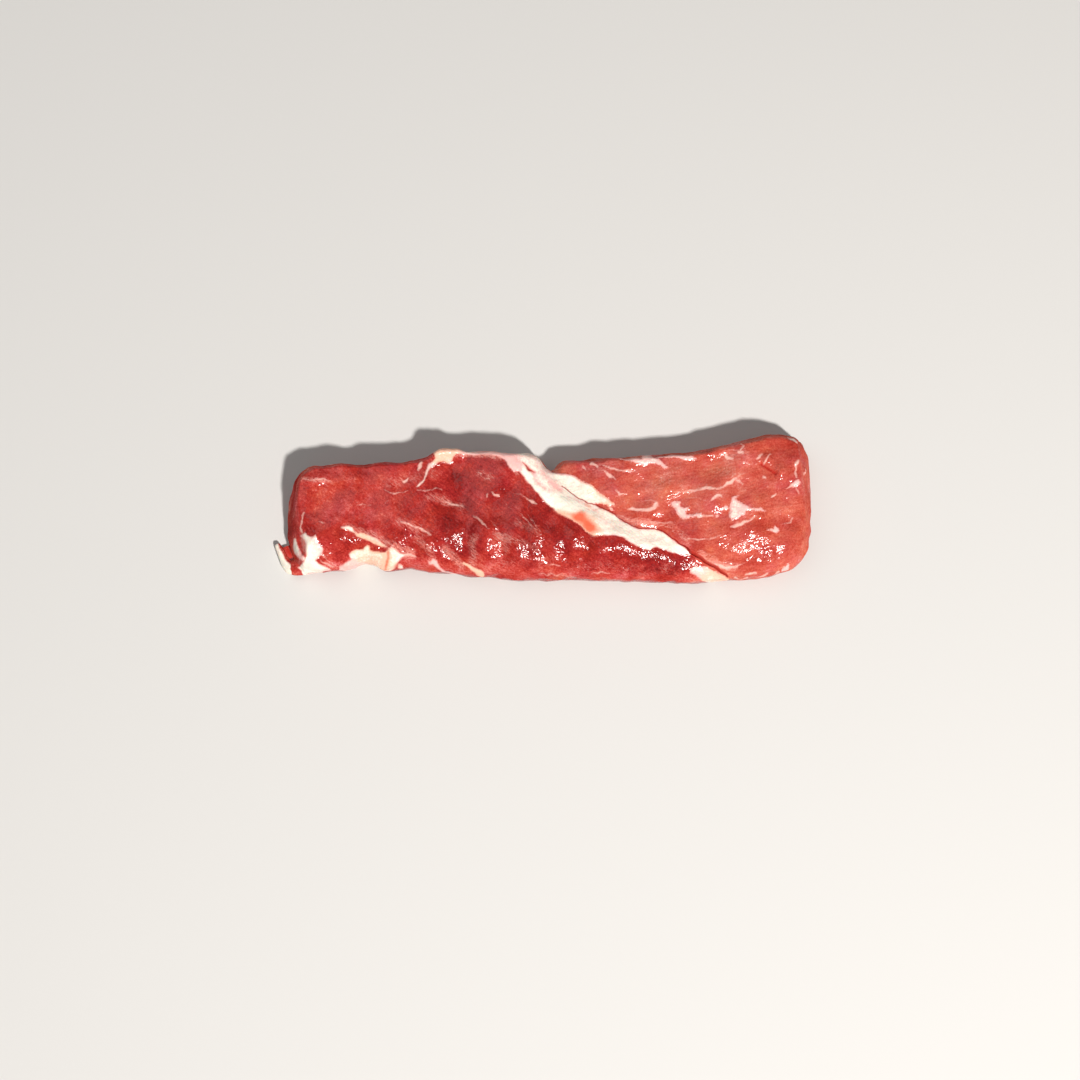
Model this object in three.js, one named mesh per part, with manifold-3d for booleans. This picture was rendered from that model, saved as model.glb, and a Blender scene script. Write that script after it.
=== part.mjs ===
// A raw pork pluma: a boneless strip of two muscles, a deep red one and a paler one, that meet at a slanting
// seam covered by a band of white fat. It lies flat and is one piece, so it is one closed solid: a knife-cut
// left end, a rolled front edge, a notch in the back edge where the muscles part, a crack along the seam, low
// swells of fat, and a torn tag of tissue that hangs off the front left corner.
//
// Millimetres. +X runs along the strip to its paler end, +Y to its back edge, +Z up. The strip lies on z = 0,
// and the origin is the middle of its bounding box there.

import * as THREE from "three";
import { mergeVertices } from "three/addons/utils/BufferGeometryUtils.js";
import Module from "manifold-3d";

const { clamp, lerp, smoothstep } = THREE.MathUtils;

// ---- Driving dimensions ----

const LEFT_END = -120.5;
const RIGHT_END = 125.5;
const BOX_MIDDLE = { x: -0.23, y: -1.96 }; // of the whole piece, which then moves to the origin

// The two long edges in plan, from the left end to the right end.
const LONG_EDGES = [
  { x: -121, back: 16.6, front: -33 },
  { x: -104, back: 17.8, front: -32 },
  { x: -80, back: 18.2, front: -30.5 },
  { x: -59, back: 20.6, front: -30.7 },
  { x: -45, back: 24.6, front: -32 },
  { x: -22, back: 23.8, front: -34.7 },
  { x: -4, back: 22.2, front: -35.5 },
  { x: 12, back: 20.6, front: -35.7 },
  { x: 40, back: 22, front: -36.2 },
  { x: 76, back: 25.4, front: -36.6 },
  { x: 102, back: 31.8, front: -34.2 },
  { x: 126, back: 33.2, front: -26.5 },
];
// Local bulges and dents of the long edges: where, how far out (below zero is inwards), and how wide.
const EDGE_MARKS = {
  back: [
    { name: "notch where the muscles part", x: 3.3, out: -5.4, width: 3.8 },
    { name: "torn fat", x: -49, out: 1.5, width: 3.5 },
  ],
  front: [
    { name: "nick beside a patch of fat", x: -83, out: -3, width: 6 },
    { name: "end of the rolled fold", x: -73, out: 0.8, width: 4 },
  ],
};
// Each end closes with superellipse corners: its length along X, and the power of the back and front corner.
const LEFT_CAP = { length: 10, middle: -7, back: 2.5, front: 1.8 };
const RIGHT_CAP = { length: 11, middle: -1, back: 3.4, front: 2.3 };

// How the top rolls down to each edge: how far in it starts, its power (2 is an ellipse), and the height of
// the widest point. Below that the side tucks in to the flat underside.
const ROLLS = {
  front: { reach: 21, power: 2.1, rim: 8 },
  back: { reach: 9, power: 1.9, rim: 7.5 },
  left: { reach: 8.5, power: 1.3, rim: 3.5 },
  right: { reach: 8, power: 1.6, rim: 6 },
};
const SIDE_BLEND = 0.2; // share of the width, on both sides of the middle, where front turns to back
const END_INSET = 4;
const END_BLEND = 12; // length over which an end's roll turns into the long edges' roll
const TUCK = 3.2;

// Height of the top of each muscle, along X.
const RED_CROWN = [
  { x: -121, z: 23 },
  { x: -95, z: 24.4 },
  { x: -64, z: 25.2 },
  { x: -38, z: 24.2 },
  { x: -14, z: 25.6 },
  { x: 12, z: 25 },
  { x: 45, z: 23 },
  { x: 90, z: 19 },
];
const PALE_CROWN = [
  { x: 0, z: 19.6 },
  { x: 25, z: 22 },
  { x: 58, z: 23.3 },
  { x: 92, z: 23.8 },
  { x: 126, z: 21.5 },
];
const CROWN_BLEND = 7; // half the width over the seam where one top turns into the other

// Uneven swell of the top: its height, and its wavelengths along X and Y.
const SWELLS = [
  { height: 0.5, alongX: 62, alongY: 47, shift: 1 },
  { height: 0.3, alongX: 27, alongY: -33, shift: 2.4 },
];

// The seam in plan, from outside the back edge to outside the front edge.
const SEAM = [
  [0, 27], [3.5, 15], [9, 6.5], [16, 0.8], [26, -3.8], [37, -10.4], [45, -14.2], [54.5, -15],
  [67, -24.5], [78, -33], [84, -37], [90, -44],
];
const SEAM_VALLEY = { depth: 2.4, width: 5.5 };
// The crack that runs along the seam: half its width at the surface, and its depth.
const CRACK = [
  { x: 12, half: 0.2, depth: 1.5 },
  { x: 20, half: 0.5, depth: 3.5 },
  { x: 30, half: 0.45, depth: 3 },
  { x: 44, half: 0.5, depth: 3.5 },
  { x: 58, half: 0.6, depth: 4 },
  { x: 72, half: 1.25, depth: 5.5 },
  { x: 86, half: 0.8, depth: 4 },
];
const CRACK_STEP = 3;
const CRACK_CLEAR = 1.5; // how far the cutting wedge stands above the surface

// Fat that stands proud of the lean, as strokes of [x, y, radius].
const FAT_RISE = 0.9;
const FAT_SHOULDER = 3.4; // width of the slope at its border
const FAT = {
  band: [
    [-40, 22, 2], [-22, 20.5, 2.2], [-12, 17.5, 3.4], [-4, 11.5, 5.6], [5, 3.5, 6.4], [13, -3, 5.6],
    [24, -9, 5.6], [34, -13.5, 5], [43, -18.5, 4.6], [54, -19.5, 4.4], [61, -23, 2.8], [67, -25.5, 0.9],
  ],
  lobe: [[7, 10.5, 2.4], [14, 6.5, 4], [20, 2.5, 3.8], [27, -1.6, 2.7], [34, -5, 0.8]],
  foot: [[70, -31, 2.4], [77, -34, 3], [85, -36, 1.8]],
  torn: [[-50.5, 21, 1.9], [-45, 19.5, 2.6]],
  corner: [[-109.5, -17, 2.2], [-107, -22, 4.4], [-108, -28, 4], [-102, -31.5, 2]],
  patch: [[-89, -28, 2], [-82, -25, 3.8], [-75.5, -27, 2.6]],
};

// Low forms in the top: a line in plan, its height (below zero is a hollow) and its width.
const FOLDS = [
  { name: "waist", height: -1.7, width: 8, line: [[-47, 28], [-43, 14], [-38, 0], [-36, -14], [-32, -40]] },
  { name: "shoulder", height: 0.8, width: 15, line: [[-16, 6], [-8, -12]] },
  { name: "corner hollow", height: -2.2, width: 6, line: [[-95, -38], [-96, -27]] },
  { name: "corner lip", height: 1.6, width: 3, line: [[-117, -14], [-117, -19], [-115, -23.5], [-111, -26]] },
  { name: "rolled fold", height: 1.5, width: 3.2, line: [[-70, -21], [-67, -25.5], [-71, -33]] },
  { name: "fold groove", height: -1.2, width: 2.6, line: [[-75, -23], [-72.5, -27], [-76, -33]] },
  { name: "front pleat", height: 1, width: 3.2, line: [[-30, -15], [-31, -24], [-28, -36]] },
  { name: "front crease", height: -1.1, width: 3, line: [[-47, -21], [-42, -27], [-38, -36]] },
  { name: "back ridge", height: 0.8, width: 4, line: [[-112, 8], [-98, 7.5], [-80, 9]] },
  { name: "end crease", height: -0.9, width: 3, line: [[100, 17], [103, 14.5], [108, 12.5]] },
  { name: "pale roll", height: 0.9, width: 9, line: [[70, 4], [104, -4]] },
  { name: "front bay", height: -1.1, width: 7, line: [[92, -40], [93, -24]] },
];

// The torn tag at the front left corner, and the thin web between it and the side: tubes through x, y, z that
// are flattened to half a width and half a height.
const TAG = [
  { x: -106, y: -26.5, z: 5.6, wide: 5.4, high: 5.4 },
  { x: -113.5, y: -28.6, z: 4.4, wide: 4.5, high: 4.4 },
  { x: -119, y: -28.4, z: 3.3, wide: 3.8, high: 3.3 },
  { x: -122, y: -25, z: 2.7, wide: 2.5, high: 2.7 },
  { x: -123.7, y: -21, z: 2.4, wide: 1.9, high: 2.3 },
  { x: -125.2, y: -17.8, z: 2, wide: 1.1, high: 1.5 },
];
const WEB = [
  { x: -110, y: -27, z: 2.2, wide: 3.4, high: 2.2 },
  { x: -116.5, y: -25.5, z: 1.8, wide: 4.2, high: 1.8 },
  { x: -119.5, y: -22, z: 1.5, wide: 4, high: 1.5 },
  { x: -121.2, y: -18.5, z: 1.1, wide: 2.6, high: 1.1 },
];
const TUBE = { sides: 14, steps: 16, endShare: 0.45 };

// Resolution of the strip.
const CAP_SAMPLES = 11;
const EDGE_STEP = 2.6;
const TOP_ROWS = 19;
const TUCK_ROWS = 3;
const SPINE_INSET = 23;

// ---- Helpers ----

// A smooth value at x through stations that are sorted by x.
function through(stations, key, x) {
  const last = stations.length - 1;
  const at = clamp(x, stations[0].x, stations[last].x);
  const k = clamp(stations.findLastIndex((station) => station.x <= at), 0, last - 1);
  const slope = (i) => {
    const [before, after] = [stations[Math.max(i - 1, 0)], stations[Math.min(i + 1, last)]];
    return (after[key] - before[key]) / (after.x - before.x);
  };
  const span = stations[k + 1].x - stations[k].x;
  const t = (at - stations[k].x) / span;
  const straight = lerp(stations[k][key], stations[k + 1][key], t * t * (3 - 2 * t));
  return straight + span * t * (1 - t) * ((1 - t) * slope(k) - t * slope(k + 1));
}

const bell = (distance, width) => Math.exp(-((distance / width) ** 2));

// From (x, y) to a line of [x, y] or [x, y, radius] points: the distance to its skin, and the side it is on.
function toLine(line, x, y) {
  let best = { distance: Infinity, side: 1 };
  for (let i = 0; i + 1 < line.length; i++) {
    const [[ax, ay, ar = 0], [bx, by, br = 0]] = [line[i], line[i + 1]];
    const [dx, dy] = [bx - ax, by - ay];
    const t = clamp(((x - ax) * dx + (y - ay) * dy) / (dx * dx + dy * dy), 0, 1);
    const distance = Math.hypot(x - ax - t * dx, y - ay - t * dy) - lerp(ar, br, t);
    const side = Math.sign(dx * (y - ay) - dy * (x - ax)) || 1;
    if (distance < best.distance) best = { distance, side };
  }
  return best;
}

// A geometry through rings of [x, y, z] points. The first and last ring close up into a point or a line.
function skin(rings) {
  const n = rings[0].length;
  const index = rings.slice(1).flatMap((_, r) =>
    Array.from({ length: n }, (_, i) => {
      const [a, b] = [r * n + i, r * n + ((i + 1) % n)];
      return [a, b, a + n, b, b + n, a + n];
    }).flat(),
  );
  return new THREE.BufferGeometry()
    .setAttribute("position", new THREE.Float32BufferAttribute(rings.flat(2), 3))
    .setIndex(index);
}

// ---- The plan of the strip ----

// How much of the width is left at x, near an end, for the back or the front corner.
function capAt(x, corner) {
  const left = (LEFT_END + LEFT_CAP.length - x) / LEFT_CAP.length;
  const right = (x - RIGHT_END + RIGHT_CAP.length) / RIGHT_CAP.length;
  const [into, cap] = left > 0 ? [left, LEFT_CAP] : [right, RIGHT_CAP];
  const share = (1 - clamp(into, 0, 1) ** cap[corner]) ** (1 / cap[corner]);
  return { share, middle: cap.middle };
}

// The outline's y at x, on its back edge or its front edge.
function edgeY(x, corner) {
  const outwards = corner === "back" ? 1 : -1;
  const marks = EDGE_MARKS[corner].reduce((sum, mark) => sum + mark.out * bell(x - mark.x, mark.width), 0);
  const { share, middle } = capAt(x, corner);
  return lerp(middle, through(LONG_EDGES, corner, x) + outwards * marks, share);
}

const middleY = (x) => (edgeY(x, "back") + edgeY(x, "front")) / 2;

// Places along X from one end to the other, closer together where a corner turns.
function placesAlong(corner) {
  const turned = (cap) =>
    Array.from({ length: CAP_SAMPLES }, (_, k) => {
      const angle = (k / CAP_SAMPLES) * (Math.PI / 2);
      return cap.length * (1 - Math.cos(angle) ** (2 / cap[corner]));
    });
  const [from, to] = [LEFT_END + LEFT_CAP.length, RIGHT_END - RIGHT_CAP.length];
  const steps = Math.round((to - from) / EDGE_STEP);
  return [
    ...turned(LEFT_CAP).map((inset) => LEFT_END + inset),
    ...Array.from({ length: steps + 1 }, (_, k) => lerp(from, to, k / steps)),
    ...turned(RIGHT_CAP).map((inset) => RIGHT_END - inset).reverse(),
  ];
}

// From the left end along the front edge, then back along the back edge.
const outline = [
  ...placesAlong("front").map((x) => [x, edgeY(x, "front")]),
  ...placesAlong("back").reverse().slice(1, -1).map((x) => [x, edgeY(x, "back")]),
];
const closedOutline = [...outline, outline[0]];

const seam = new THREE.SplineCurve(SEAM.map(([x, y]) => new THREE.Vector2(x, y)))
  .getPoints(80)
  .map((p) => [p.x, p.y]);

function seamY(x) {
  const i = clamp(seam.findIndex((p) => p[0] > x), 1, seam.length - 1);
  const [[ax, ay], [bx, by]] = [seam[i - 1], seam[i]];
  return lerp(ay, by, (x - ax) / (bx - ax));
}

// ---- The top of the strip ----

// The roll towards the nearest edge, blended from one edge to the next.
function rollAt(x, y) {
  const across = (y - middleY(x)) / (edgeY(x, "back") - edgeY(x, "front") || 1);
  const back = smoothstep(across, -SIDE_BLEND, SIDE_BLEND);
  const left = 1 - smoothstep(x, LEFT_END + END_INSET, LEFT_END + END_INSET + END_BLEND);
  const right = smoothstep(x, RIGHT_END - END_INSET - END_BLEND, RIGHT_END - END_INSET);
  const blended = (key) => {
    const long = lerp(ROLLS.front[key], ROLLS.back[key], back);
    return lerp(lerp(long, ROLLS.left[key], left), ROLLS.right[key], right);
  };
  return { reach: blended("reach"), power: blended("power"), rim: blended("rim") };
}

const fatDistance = (x, y) => Math.min(...Object.values(FAT).map((stroke) => toLine(stroke, x, y).distance));

function crownHeight(x, y) {
  const { distance, side } = toLine(seam, x, y);
  const pale = smoothstep(distance * side, -CROWN_BLEND, CROWN_BLEND);
  const folds = FOLDS.map((fold) => fold.height * bell(toLine(fold.line, x, y).distance, fold.width));
  const swells = SWELLS.map(({ height, alongX, alongY, shift }) => {
    const turns = x / alongX + y / alongY;
    return height * Math.sin(2 * Math.PI * turns + shift);
  });
  const added = [...folds, ...swells].reduce((sum, height) => sum + height, 0);
  return (
    lerp(through(RED_CROWN, "z", x), through(PALE_CROWN, "z", x), pale) -
    SEAM_VALLEY.depth * bell(distance, SEAM_VALLEY.width) +
    FAT_RISE * smoothstep(-fatDistance(x, y), -FAT_SHOULDER / 2, FAT_SHOULDER / 2) +
    added
  );
}

// Height of the top surface over a point of the plan.
function topHeight(x, y) {
  const { reach, power, rim } = rollAt(x, y);
  const inward = clamp(toLine(closedOutline, x, y).distance / reach, 0, 1);
  return rim + (crownHeight(x, y) - rim) * (1 - (1 - inward) ** power) ** (1 / power);
}

// ---- The strip ----

// The line that the rings close up on, and a ring made by a rule from the outline's points to it.
function spineAt(x) {
  const at = clamp(x, LEFT_END + SPINE_INSET, RIGHT_END - SPINE_INSET);
  return [at, middleY(at)];
}

const ringOf = (rule) =>
  outline.map(([x, y]) => {
    const [sx, sy] = spineAt(x);
    const length = Math.hypot(sx - x, sy - y);
    const { share, height } = rule(rollAt(x, y), length);
    const [px, py] = [lerp(x, sx, share), lerp(y, sy, share)];
    return [px, py, height ?? topHeight(px, py)];
  });

function stripGeometry() {
  const underside = ringOf(() => ({ share: 1, height: 0 }));
  const tucked = Array.from({ length: TUCK_ROWS + 1 }, (_, k) => {
    const turn = (1 - k / TUCK_ROWS) * (Math.PI / 2);
    return ringOf((roll, length) => ({
      share: (TUCK * (1 - Math.cos(turn))) / length,
      height: roll.rim * (1 - Math.sin(turn)),
    }));
  });
  // Rows in even steps along the surface: over the roll's quarter turn, then over the flat of the top.
  const top = Array.from({ length: TOP_ROWS }, (_, k) =>
    ringOf(({ reach, rim }, length) => {
      const roll = Math.min(reach, 0.75 * length);
      const turn = ((roll + RED_CROWN[0].z - rim) * Math.PI) / 4;
      const along = ((k + 1) / TOP_ROWS) * (turn + length - roll);
      const onRoll = roll * (1 - Math.cos((Math.min(along / turn, 1) * Math.PI) / 2));
      return { share: (onRoll + Math.max(along - turn, 0)) / length };
    }),
  );
  return skin([underside, ...tucked, ...top]);
}

// A tube through stations, round at its ends, that lies on z = 0 where it reaches that low.
function flatTube(stations) {
  const curve = (...keys) => {
    const points = stations.map((station) => new THREE.Vector3(...keys.map((key) => station[key])));
    return new THREE.CatmullRomCurve3(points);
  };
  const [path, halves] = [curve("x", "y", "z"), curve("wide", "high", "high")];
  const ring = (t, share) => {
    const [centre, ahead, half] = [path.getPoint(t), path.getTangent(t), halves.getPoint(t)];
    const across = new THREE.Vector2(-ahead.y, ahead.x).normalize();
    return Array.from({ length: TUBE.sides }, (_, i) => {
      const turn = (i / TUBE.sides) * 2 * Math.PI;
      const out = Math.cos(turn) * half.x * share;
      const height = Math.max(centre.z + Math.sin(turn) * half.y * share, 0);
      return [centre.x + across.x * out, centre.y + across.y * out, height];
    });
  };
  const body = Array.from({ length: TUBE.steps + 1 }, (_, k) => {
    const atEnd = k === 0 || k === TUBE.steps;
    return ring(k / TUBE.steps, atEnd ? TUBE.endShare : 1);
  });
  return skin([ring(0, 0), ...body, ring(1, 0)]);
}

// The wedge that cuts the crack, from just above the surface down to the crack's depth.
function wedgeGeometry() {
  const [from, to] = [CRACK[0].x, CRACK.at(-1).x];
  const steps = Math.round((to - from) / CRACK_STEP);
  const ring = (x, share) => {
    const y = seamY(x);
    const ahead = new THREE.Vector2(1, seamY(x + 0.5) - seamY(x - 0.5)).normalize();
    const surface = topHeight(x, Math.max(y, edgeY(x, "front")));
    const [half, depth] = [through(CRACK, "half", x), through(CRACK, "depth", x)];
    const flare = (share * half * (depth + CRACK_CLEAR)) / depth;
    return [
      [x + ahead.y * flare, y - ahead.x * flare, surface + CRACK_CLEAR],
      [x, y, surface + CRACK_CLEAR - share * (depth + CRACK_CLEAR)],
      [x - ahead.y * flare, y + ahead.x * flare, surface + CRACK_CLEAR],
    ];
  };
  const body = Array.from({ length: steps + 1 }, (_, k) => ring(lerp(from, to, k / steps), 1));
  return skin([ring(from, 0), ...body, ring(to, 0)]);
}

// ---- Joining ----

const wasm = await Module();
wasm.setup();

function solidOf(geometry) {
  const merged = mergeVertices(geometry, 1e-4);
  const faces = Array.from({ length: merged.index.count / 3 }, (_, f) =>
    [0, 1, 2].map((corner) => merged.index.getX(3 * f + corner)),
  );
  const kept = faces.filter(([a, b, c]) => a !== b && b !== c && c !== a);
  return new wasm.Manifold(
    new wasm.Mesh({
      numProp: 3,
      vertProperties: merged.attributes.position.array,
      triVerts: new Uint32Array(kept.flat()),
    }),
  );
}

function geometryOf(solid) {
  const { vertProperties, triVerts } = solid.getMesh();
  return new THREE.BufferGeometry()
    .setAttribute("position", new THREE.BufferAttribute(vertProperties, 3))
    .setIndex(new THREE.BufferAttribute(triVerts, 1));
}

const strip = solidOf(stripGeometry()).subtract(solidOf(wedgeGeometry()));
const whole = strip.add(solidOf(flatTube(TAG))).add(solidOf(flatTube(WEB)));

const pluma = new THREE.Mesh(
  geometryOf(whole),
  new THREE.MeshStandardMaterial({ name: "raw_pork", color: 0xc0564a, roughness: 0.35, metalness: 0 }),
);
pluma.name = "pork_pluma";
pluma.geometry.computeVertexNormals();
pluma.position.set(-BOX_MIDDLE.x, -BOX_MIDDLE.y, 0);

const part = new THREE.Group();
part.add(pluma);

export default part;
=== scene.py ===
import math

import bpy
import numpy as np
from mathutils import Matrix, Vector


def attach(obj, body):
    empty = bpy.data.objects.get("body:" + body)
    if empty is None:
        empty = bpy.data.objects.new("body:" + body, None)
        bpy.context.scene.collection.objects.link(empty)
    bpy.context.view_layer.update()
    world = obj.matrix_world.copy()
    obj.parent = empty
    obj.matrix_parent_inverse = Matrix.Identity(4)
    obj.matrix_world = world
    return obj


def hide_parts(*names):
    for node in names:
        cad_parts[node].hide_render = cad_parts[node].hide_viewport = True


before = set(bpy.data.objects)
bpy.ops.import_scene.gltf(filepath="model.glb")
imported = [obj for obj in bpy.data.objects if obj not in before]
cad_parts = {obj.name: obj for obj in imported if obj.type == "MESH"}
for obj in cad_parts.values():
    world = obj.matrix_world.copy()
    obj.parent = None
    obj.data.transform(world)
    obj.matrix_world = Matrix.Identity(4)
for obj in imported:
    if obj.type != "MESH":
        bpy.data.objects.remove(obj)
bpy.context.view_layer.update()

# A raw pork pluma on a pale table: a boneless strip of a dark red and a paler muscle, joined along a
# slanting seam of white fat. Its skin is one fine mesh with the form of the solid that it replaces, and
# with the crack, the torn tag, the pleats and the fat modelled in it.
# Millimetres, in the strip's own plan: +X runs to the paler end, +Y to the back edge, +Z up.

MM = 0.001

# ---- Sizes of the strip ----

LEFT_END = -120.5
RIGHT_END = 125.5
BOX_MIDDLE = np.array([-0.23, -1.96, 0.0])  # of the whole strip, moved to the origin

# The long edges in plan: place along the strip, back edge, front edge.
LONG_EDGES = np.array([
    (-121, 16.6, -33), (-104, 17.8, -32), (-80, 18.2, -30.5), (-59, 20.6, -30.7), (-45, 24.6, -32),
    (-22, 23.8, -34.7), (-4, 22.2, -35.5), (12, 20.6, -35.7), (40, 22, -36.2), (76, 25.4, -36.6),
    (102, 31.8, -34.2), (126, 33.2, -26.5),
], float)
BACK, FRONT = 1, 2  # columns of the long edges
# Local bulges and dents of an edge: where, how far out, how wide.
EDGE_MARKS = {
    BACK: [(3.3, -5.4, 3.8), (-49, 1.5, 3.5), (-93, 0.5, 6), (-75, 0.5, 5), (-66, -0.4, 4), (30, 0.4, 6)],
    FRONT: [(-83, -3, 6), (-73, 0.8, 4), (-40, 0.5, 5), (20, -0.4, 9), (88, -0.7, 5), (104, 0.5, 6)],
}
# Superellipse corners of the ends: length, middle, power at the back and at the front.
LEFT_CAP = {"length": 10, "middle": -7, BACK: 2.5, FRONT: 1.8}
RIGHT_CAP = {"length": 11, "middle": -1, BACK: 3.4, FRONT: 2.3}
LEFT_CORNER, RIGHT_CORNER = LEFT_END + LEFT_CAP["length"], RIGHT_END - RIGHT_CAP["length"]

# The roll of the top to each edge: reach, power, height of the widest point.
ROLL_FRONT, ROLL_BACK = np.array([(21, 2.1, 8), (4.8, 2, 8.5)])
ROLL_LEFT, ROLL_RIGHT = np.array([(9, 1.2, 3.5), (8, 1.6, 6)])
ROLL_SHARE = 0.75  # of the way to the spine, that a roll takes at most
SIDE_BLEND = 0.2  # share of the width, on both sides of the middle, where front turns to back
END_INSET, END_BLEND = 4, 12  # where an end's roll turns into the long edges', and over what length
TUCK = 3.2  # how far the side draws in below its widest point

# Height of the top of each muscle, along X.
RED_CROWN = np.array([
    (-121, 23), (-95, 24.4), (-64, 25.2), (-38, 24.2), (-14, 25.6), (12, 25), (45, 23), (90, 19),
], float)
PALE_CROWN = np.array([(0, 19.6), (25, 22), (58, 23.3), (92, 23.8), (126, 21.5)], float)
CROWN_BLEND = 7  # half the width over the seam where one top turns into the other
SWELLS = [(0.5, 62, 47, 1), (0.3, 27, -33, 2.4)]  # height, wavelengths along X and Y, shift

# The seam in plan, from outside the back edge to outside the front edge, and its valley.
SEAM = [
    (0, 27), (3.5, 15), (9, 6.5), (16, 0.8), (26, -3.8), (37, -10.4), (45, -14.2), (54.5, -15),
    (67, -24.5), (78, -33), (84, -37), (90, -44),
]
SEAM_DEPTH, SEAM_WIDTH = 2.4, 5.5

# The crack that follows the seam: x, y, half its width at the surface, depth.
CRACK = np.array([
    (8.5, 6, 0.07, 0.4), (11.5, 4, 0.09, 0.6), (14.5, 1.5, 0.1, 0.7), (18, -0.5, 0.1, 0.7),
    (21, -2, 0.1, 0.6), (24.5, -2.6, 0.1, 0.7), (28, -4.3, 0.16, 0.9), (32, -6.4, 0.1, 0.7),
    (35.5, -9.5, 0.09, 0.6), (39.5, -11.8, 0.12, 0.8), (43.5, -13.5, 0.12, 0.8), (49, -13.3, 0.09, 0.6),
    (54, -14.2, 0.12, 0.8), (58, -17.1, 0.15, 1), (62, -20.2, 0.2, 1.3), (65, -22.1, 0.3, 2),
    (68, -24.6, 0.75, 3.2), (72, -26.8, 0.7, 3.2), (76, -29.6, 0.5, 2.8), (81, -32.2, 0.5, 2.8),
    (85, -34.8, 0.3, 2),
])
CRACK_CLEAR = 1.2  # how far the cutting wedge stands above the surface

# Long low forms of the top: height, width, line in plan.
FOLDS = {
    "waist": (-1.7, 8, [(-47, 28), (-43, 14), (-38, 0), (-36, -14), (-32, -40)]),
    "shoulder": (0.8, 15, [(-16, 6), (-8, -12)]),
    "corner hollow": (-2.2, 6, [(-95, -38), (-96, -27)]),
    "corner lip": (2, 1.7, [(-116.6, -15), (-115.8, -19.5), (-114.5, -23), (-111, -26.8)]),
    "lip groove": (-1.1, 1.2, [(-112.6, -16.5), (-112.2, -20.5), (-111.2, -24.5)]),
    "rolled fold": (1.6, 2.4, [(-69, -22.5), (-68, -26.5), (-70.5, -31), (-72, -35)]),
    "fold groove": (-0.9, 1.4, [(-74, -22.8), (-72.2, -25), (-73.6, -28), (-76.5, -31.5)]),
    "front pleat": (2.3, 4.6, [(-28.6, -15), (-29.6, -21), (-26.6, -35)]),
    "front groove": (-1.3, 3.2, [(-19.6, -17), (-18.4, -24), (-16.5, -34)]),
    "front swell": (0.5, 4.5, [(10, -22), (24, -24), (44, -23.5)]),
    "left pleat": (0.65, 3.2, [(-40, -17), (-41, -27)]),
    "front crease": (-1.3, 2, [(-48, -22), (-41, -28), (-36, -36)]),
    "front crease 2": (-0.9, 1.8, [(-58, -24), (-54, -30), (-50, -36)]),
    "back ridge": (0.55, 2.6, [(-112, 8), (-103, 8.4), (-97, 7), (-86, 8)]),
    "back step": (-0.7, 3, [(-110, 13), (-95, 13.5), (-80, 13)]),
    "back shoulder": (1.5, 7, [(-114, 10), (-92, 12)]),
    "end crease": (-1.2, 0.7, [(100.3, 16.2), (102.5, 15.2), (105.5, 13), (107, 11.6)]),
    "end flap": (1, 2.4, [(103, 19), (106, 16), (109, 13)]),
    "pale roll": (0.9, 9, [(70, 4), (104, -4)]),
    "pale lift": (0.7, 4.5, [(46, -9), (56, -9.5)]),
    "pale dip": (-0.7, 5, [(44, 10), (66, 14), (84, 16)]),
    "front bay": (-1.1, 7, [(92, -40), (93, -24)]),
    "low fold": (-0.8, 2, [(74, -25), (81, -28), (89, -28.5), (96, -26)]),
    "front furrow": (-0.6, 2.4, [(-22, -27), (-6, -25), (12, -28), (30, -27)]),
    "front furrow 2": (-0.5, 2, [(14, -31), (36, -30), (58, -32)]),
    "slit in the fat": (-0.7, 1, [(-12.5, 18.5), (-9, 15.6), (-6, 12.2), (-4.5, 12)]),
    "fat furrow": (-0.5, 0.8, [(-4.5, 11), (-3, 7.5), (0, 5)]),
}
for ripple_x in (-4.5, 4, 14.5, 24):
    FOLDS[f"ripple at {ripple_x}"] = (0.75, 3.1, [(ripple_x, -17), (ripple_x + 0.7, -28)])

# Torn fat that stands up at the very edge: height, width, line.
EDGE_LUMP = (3.6, 3.2, [(-49.5, 20.5), (-41, 22.8)])

# ---- Fat ----

FAT_RISE = 0.55  # how far thick fat stands proud of the lean
FAT_SLOPE = (-0.6, 1.2)  # depth inside its border at the foot and at the top of that step
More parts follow.
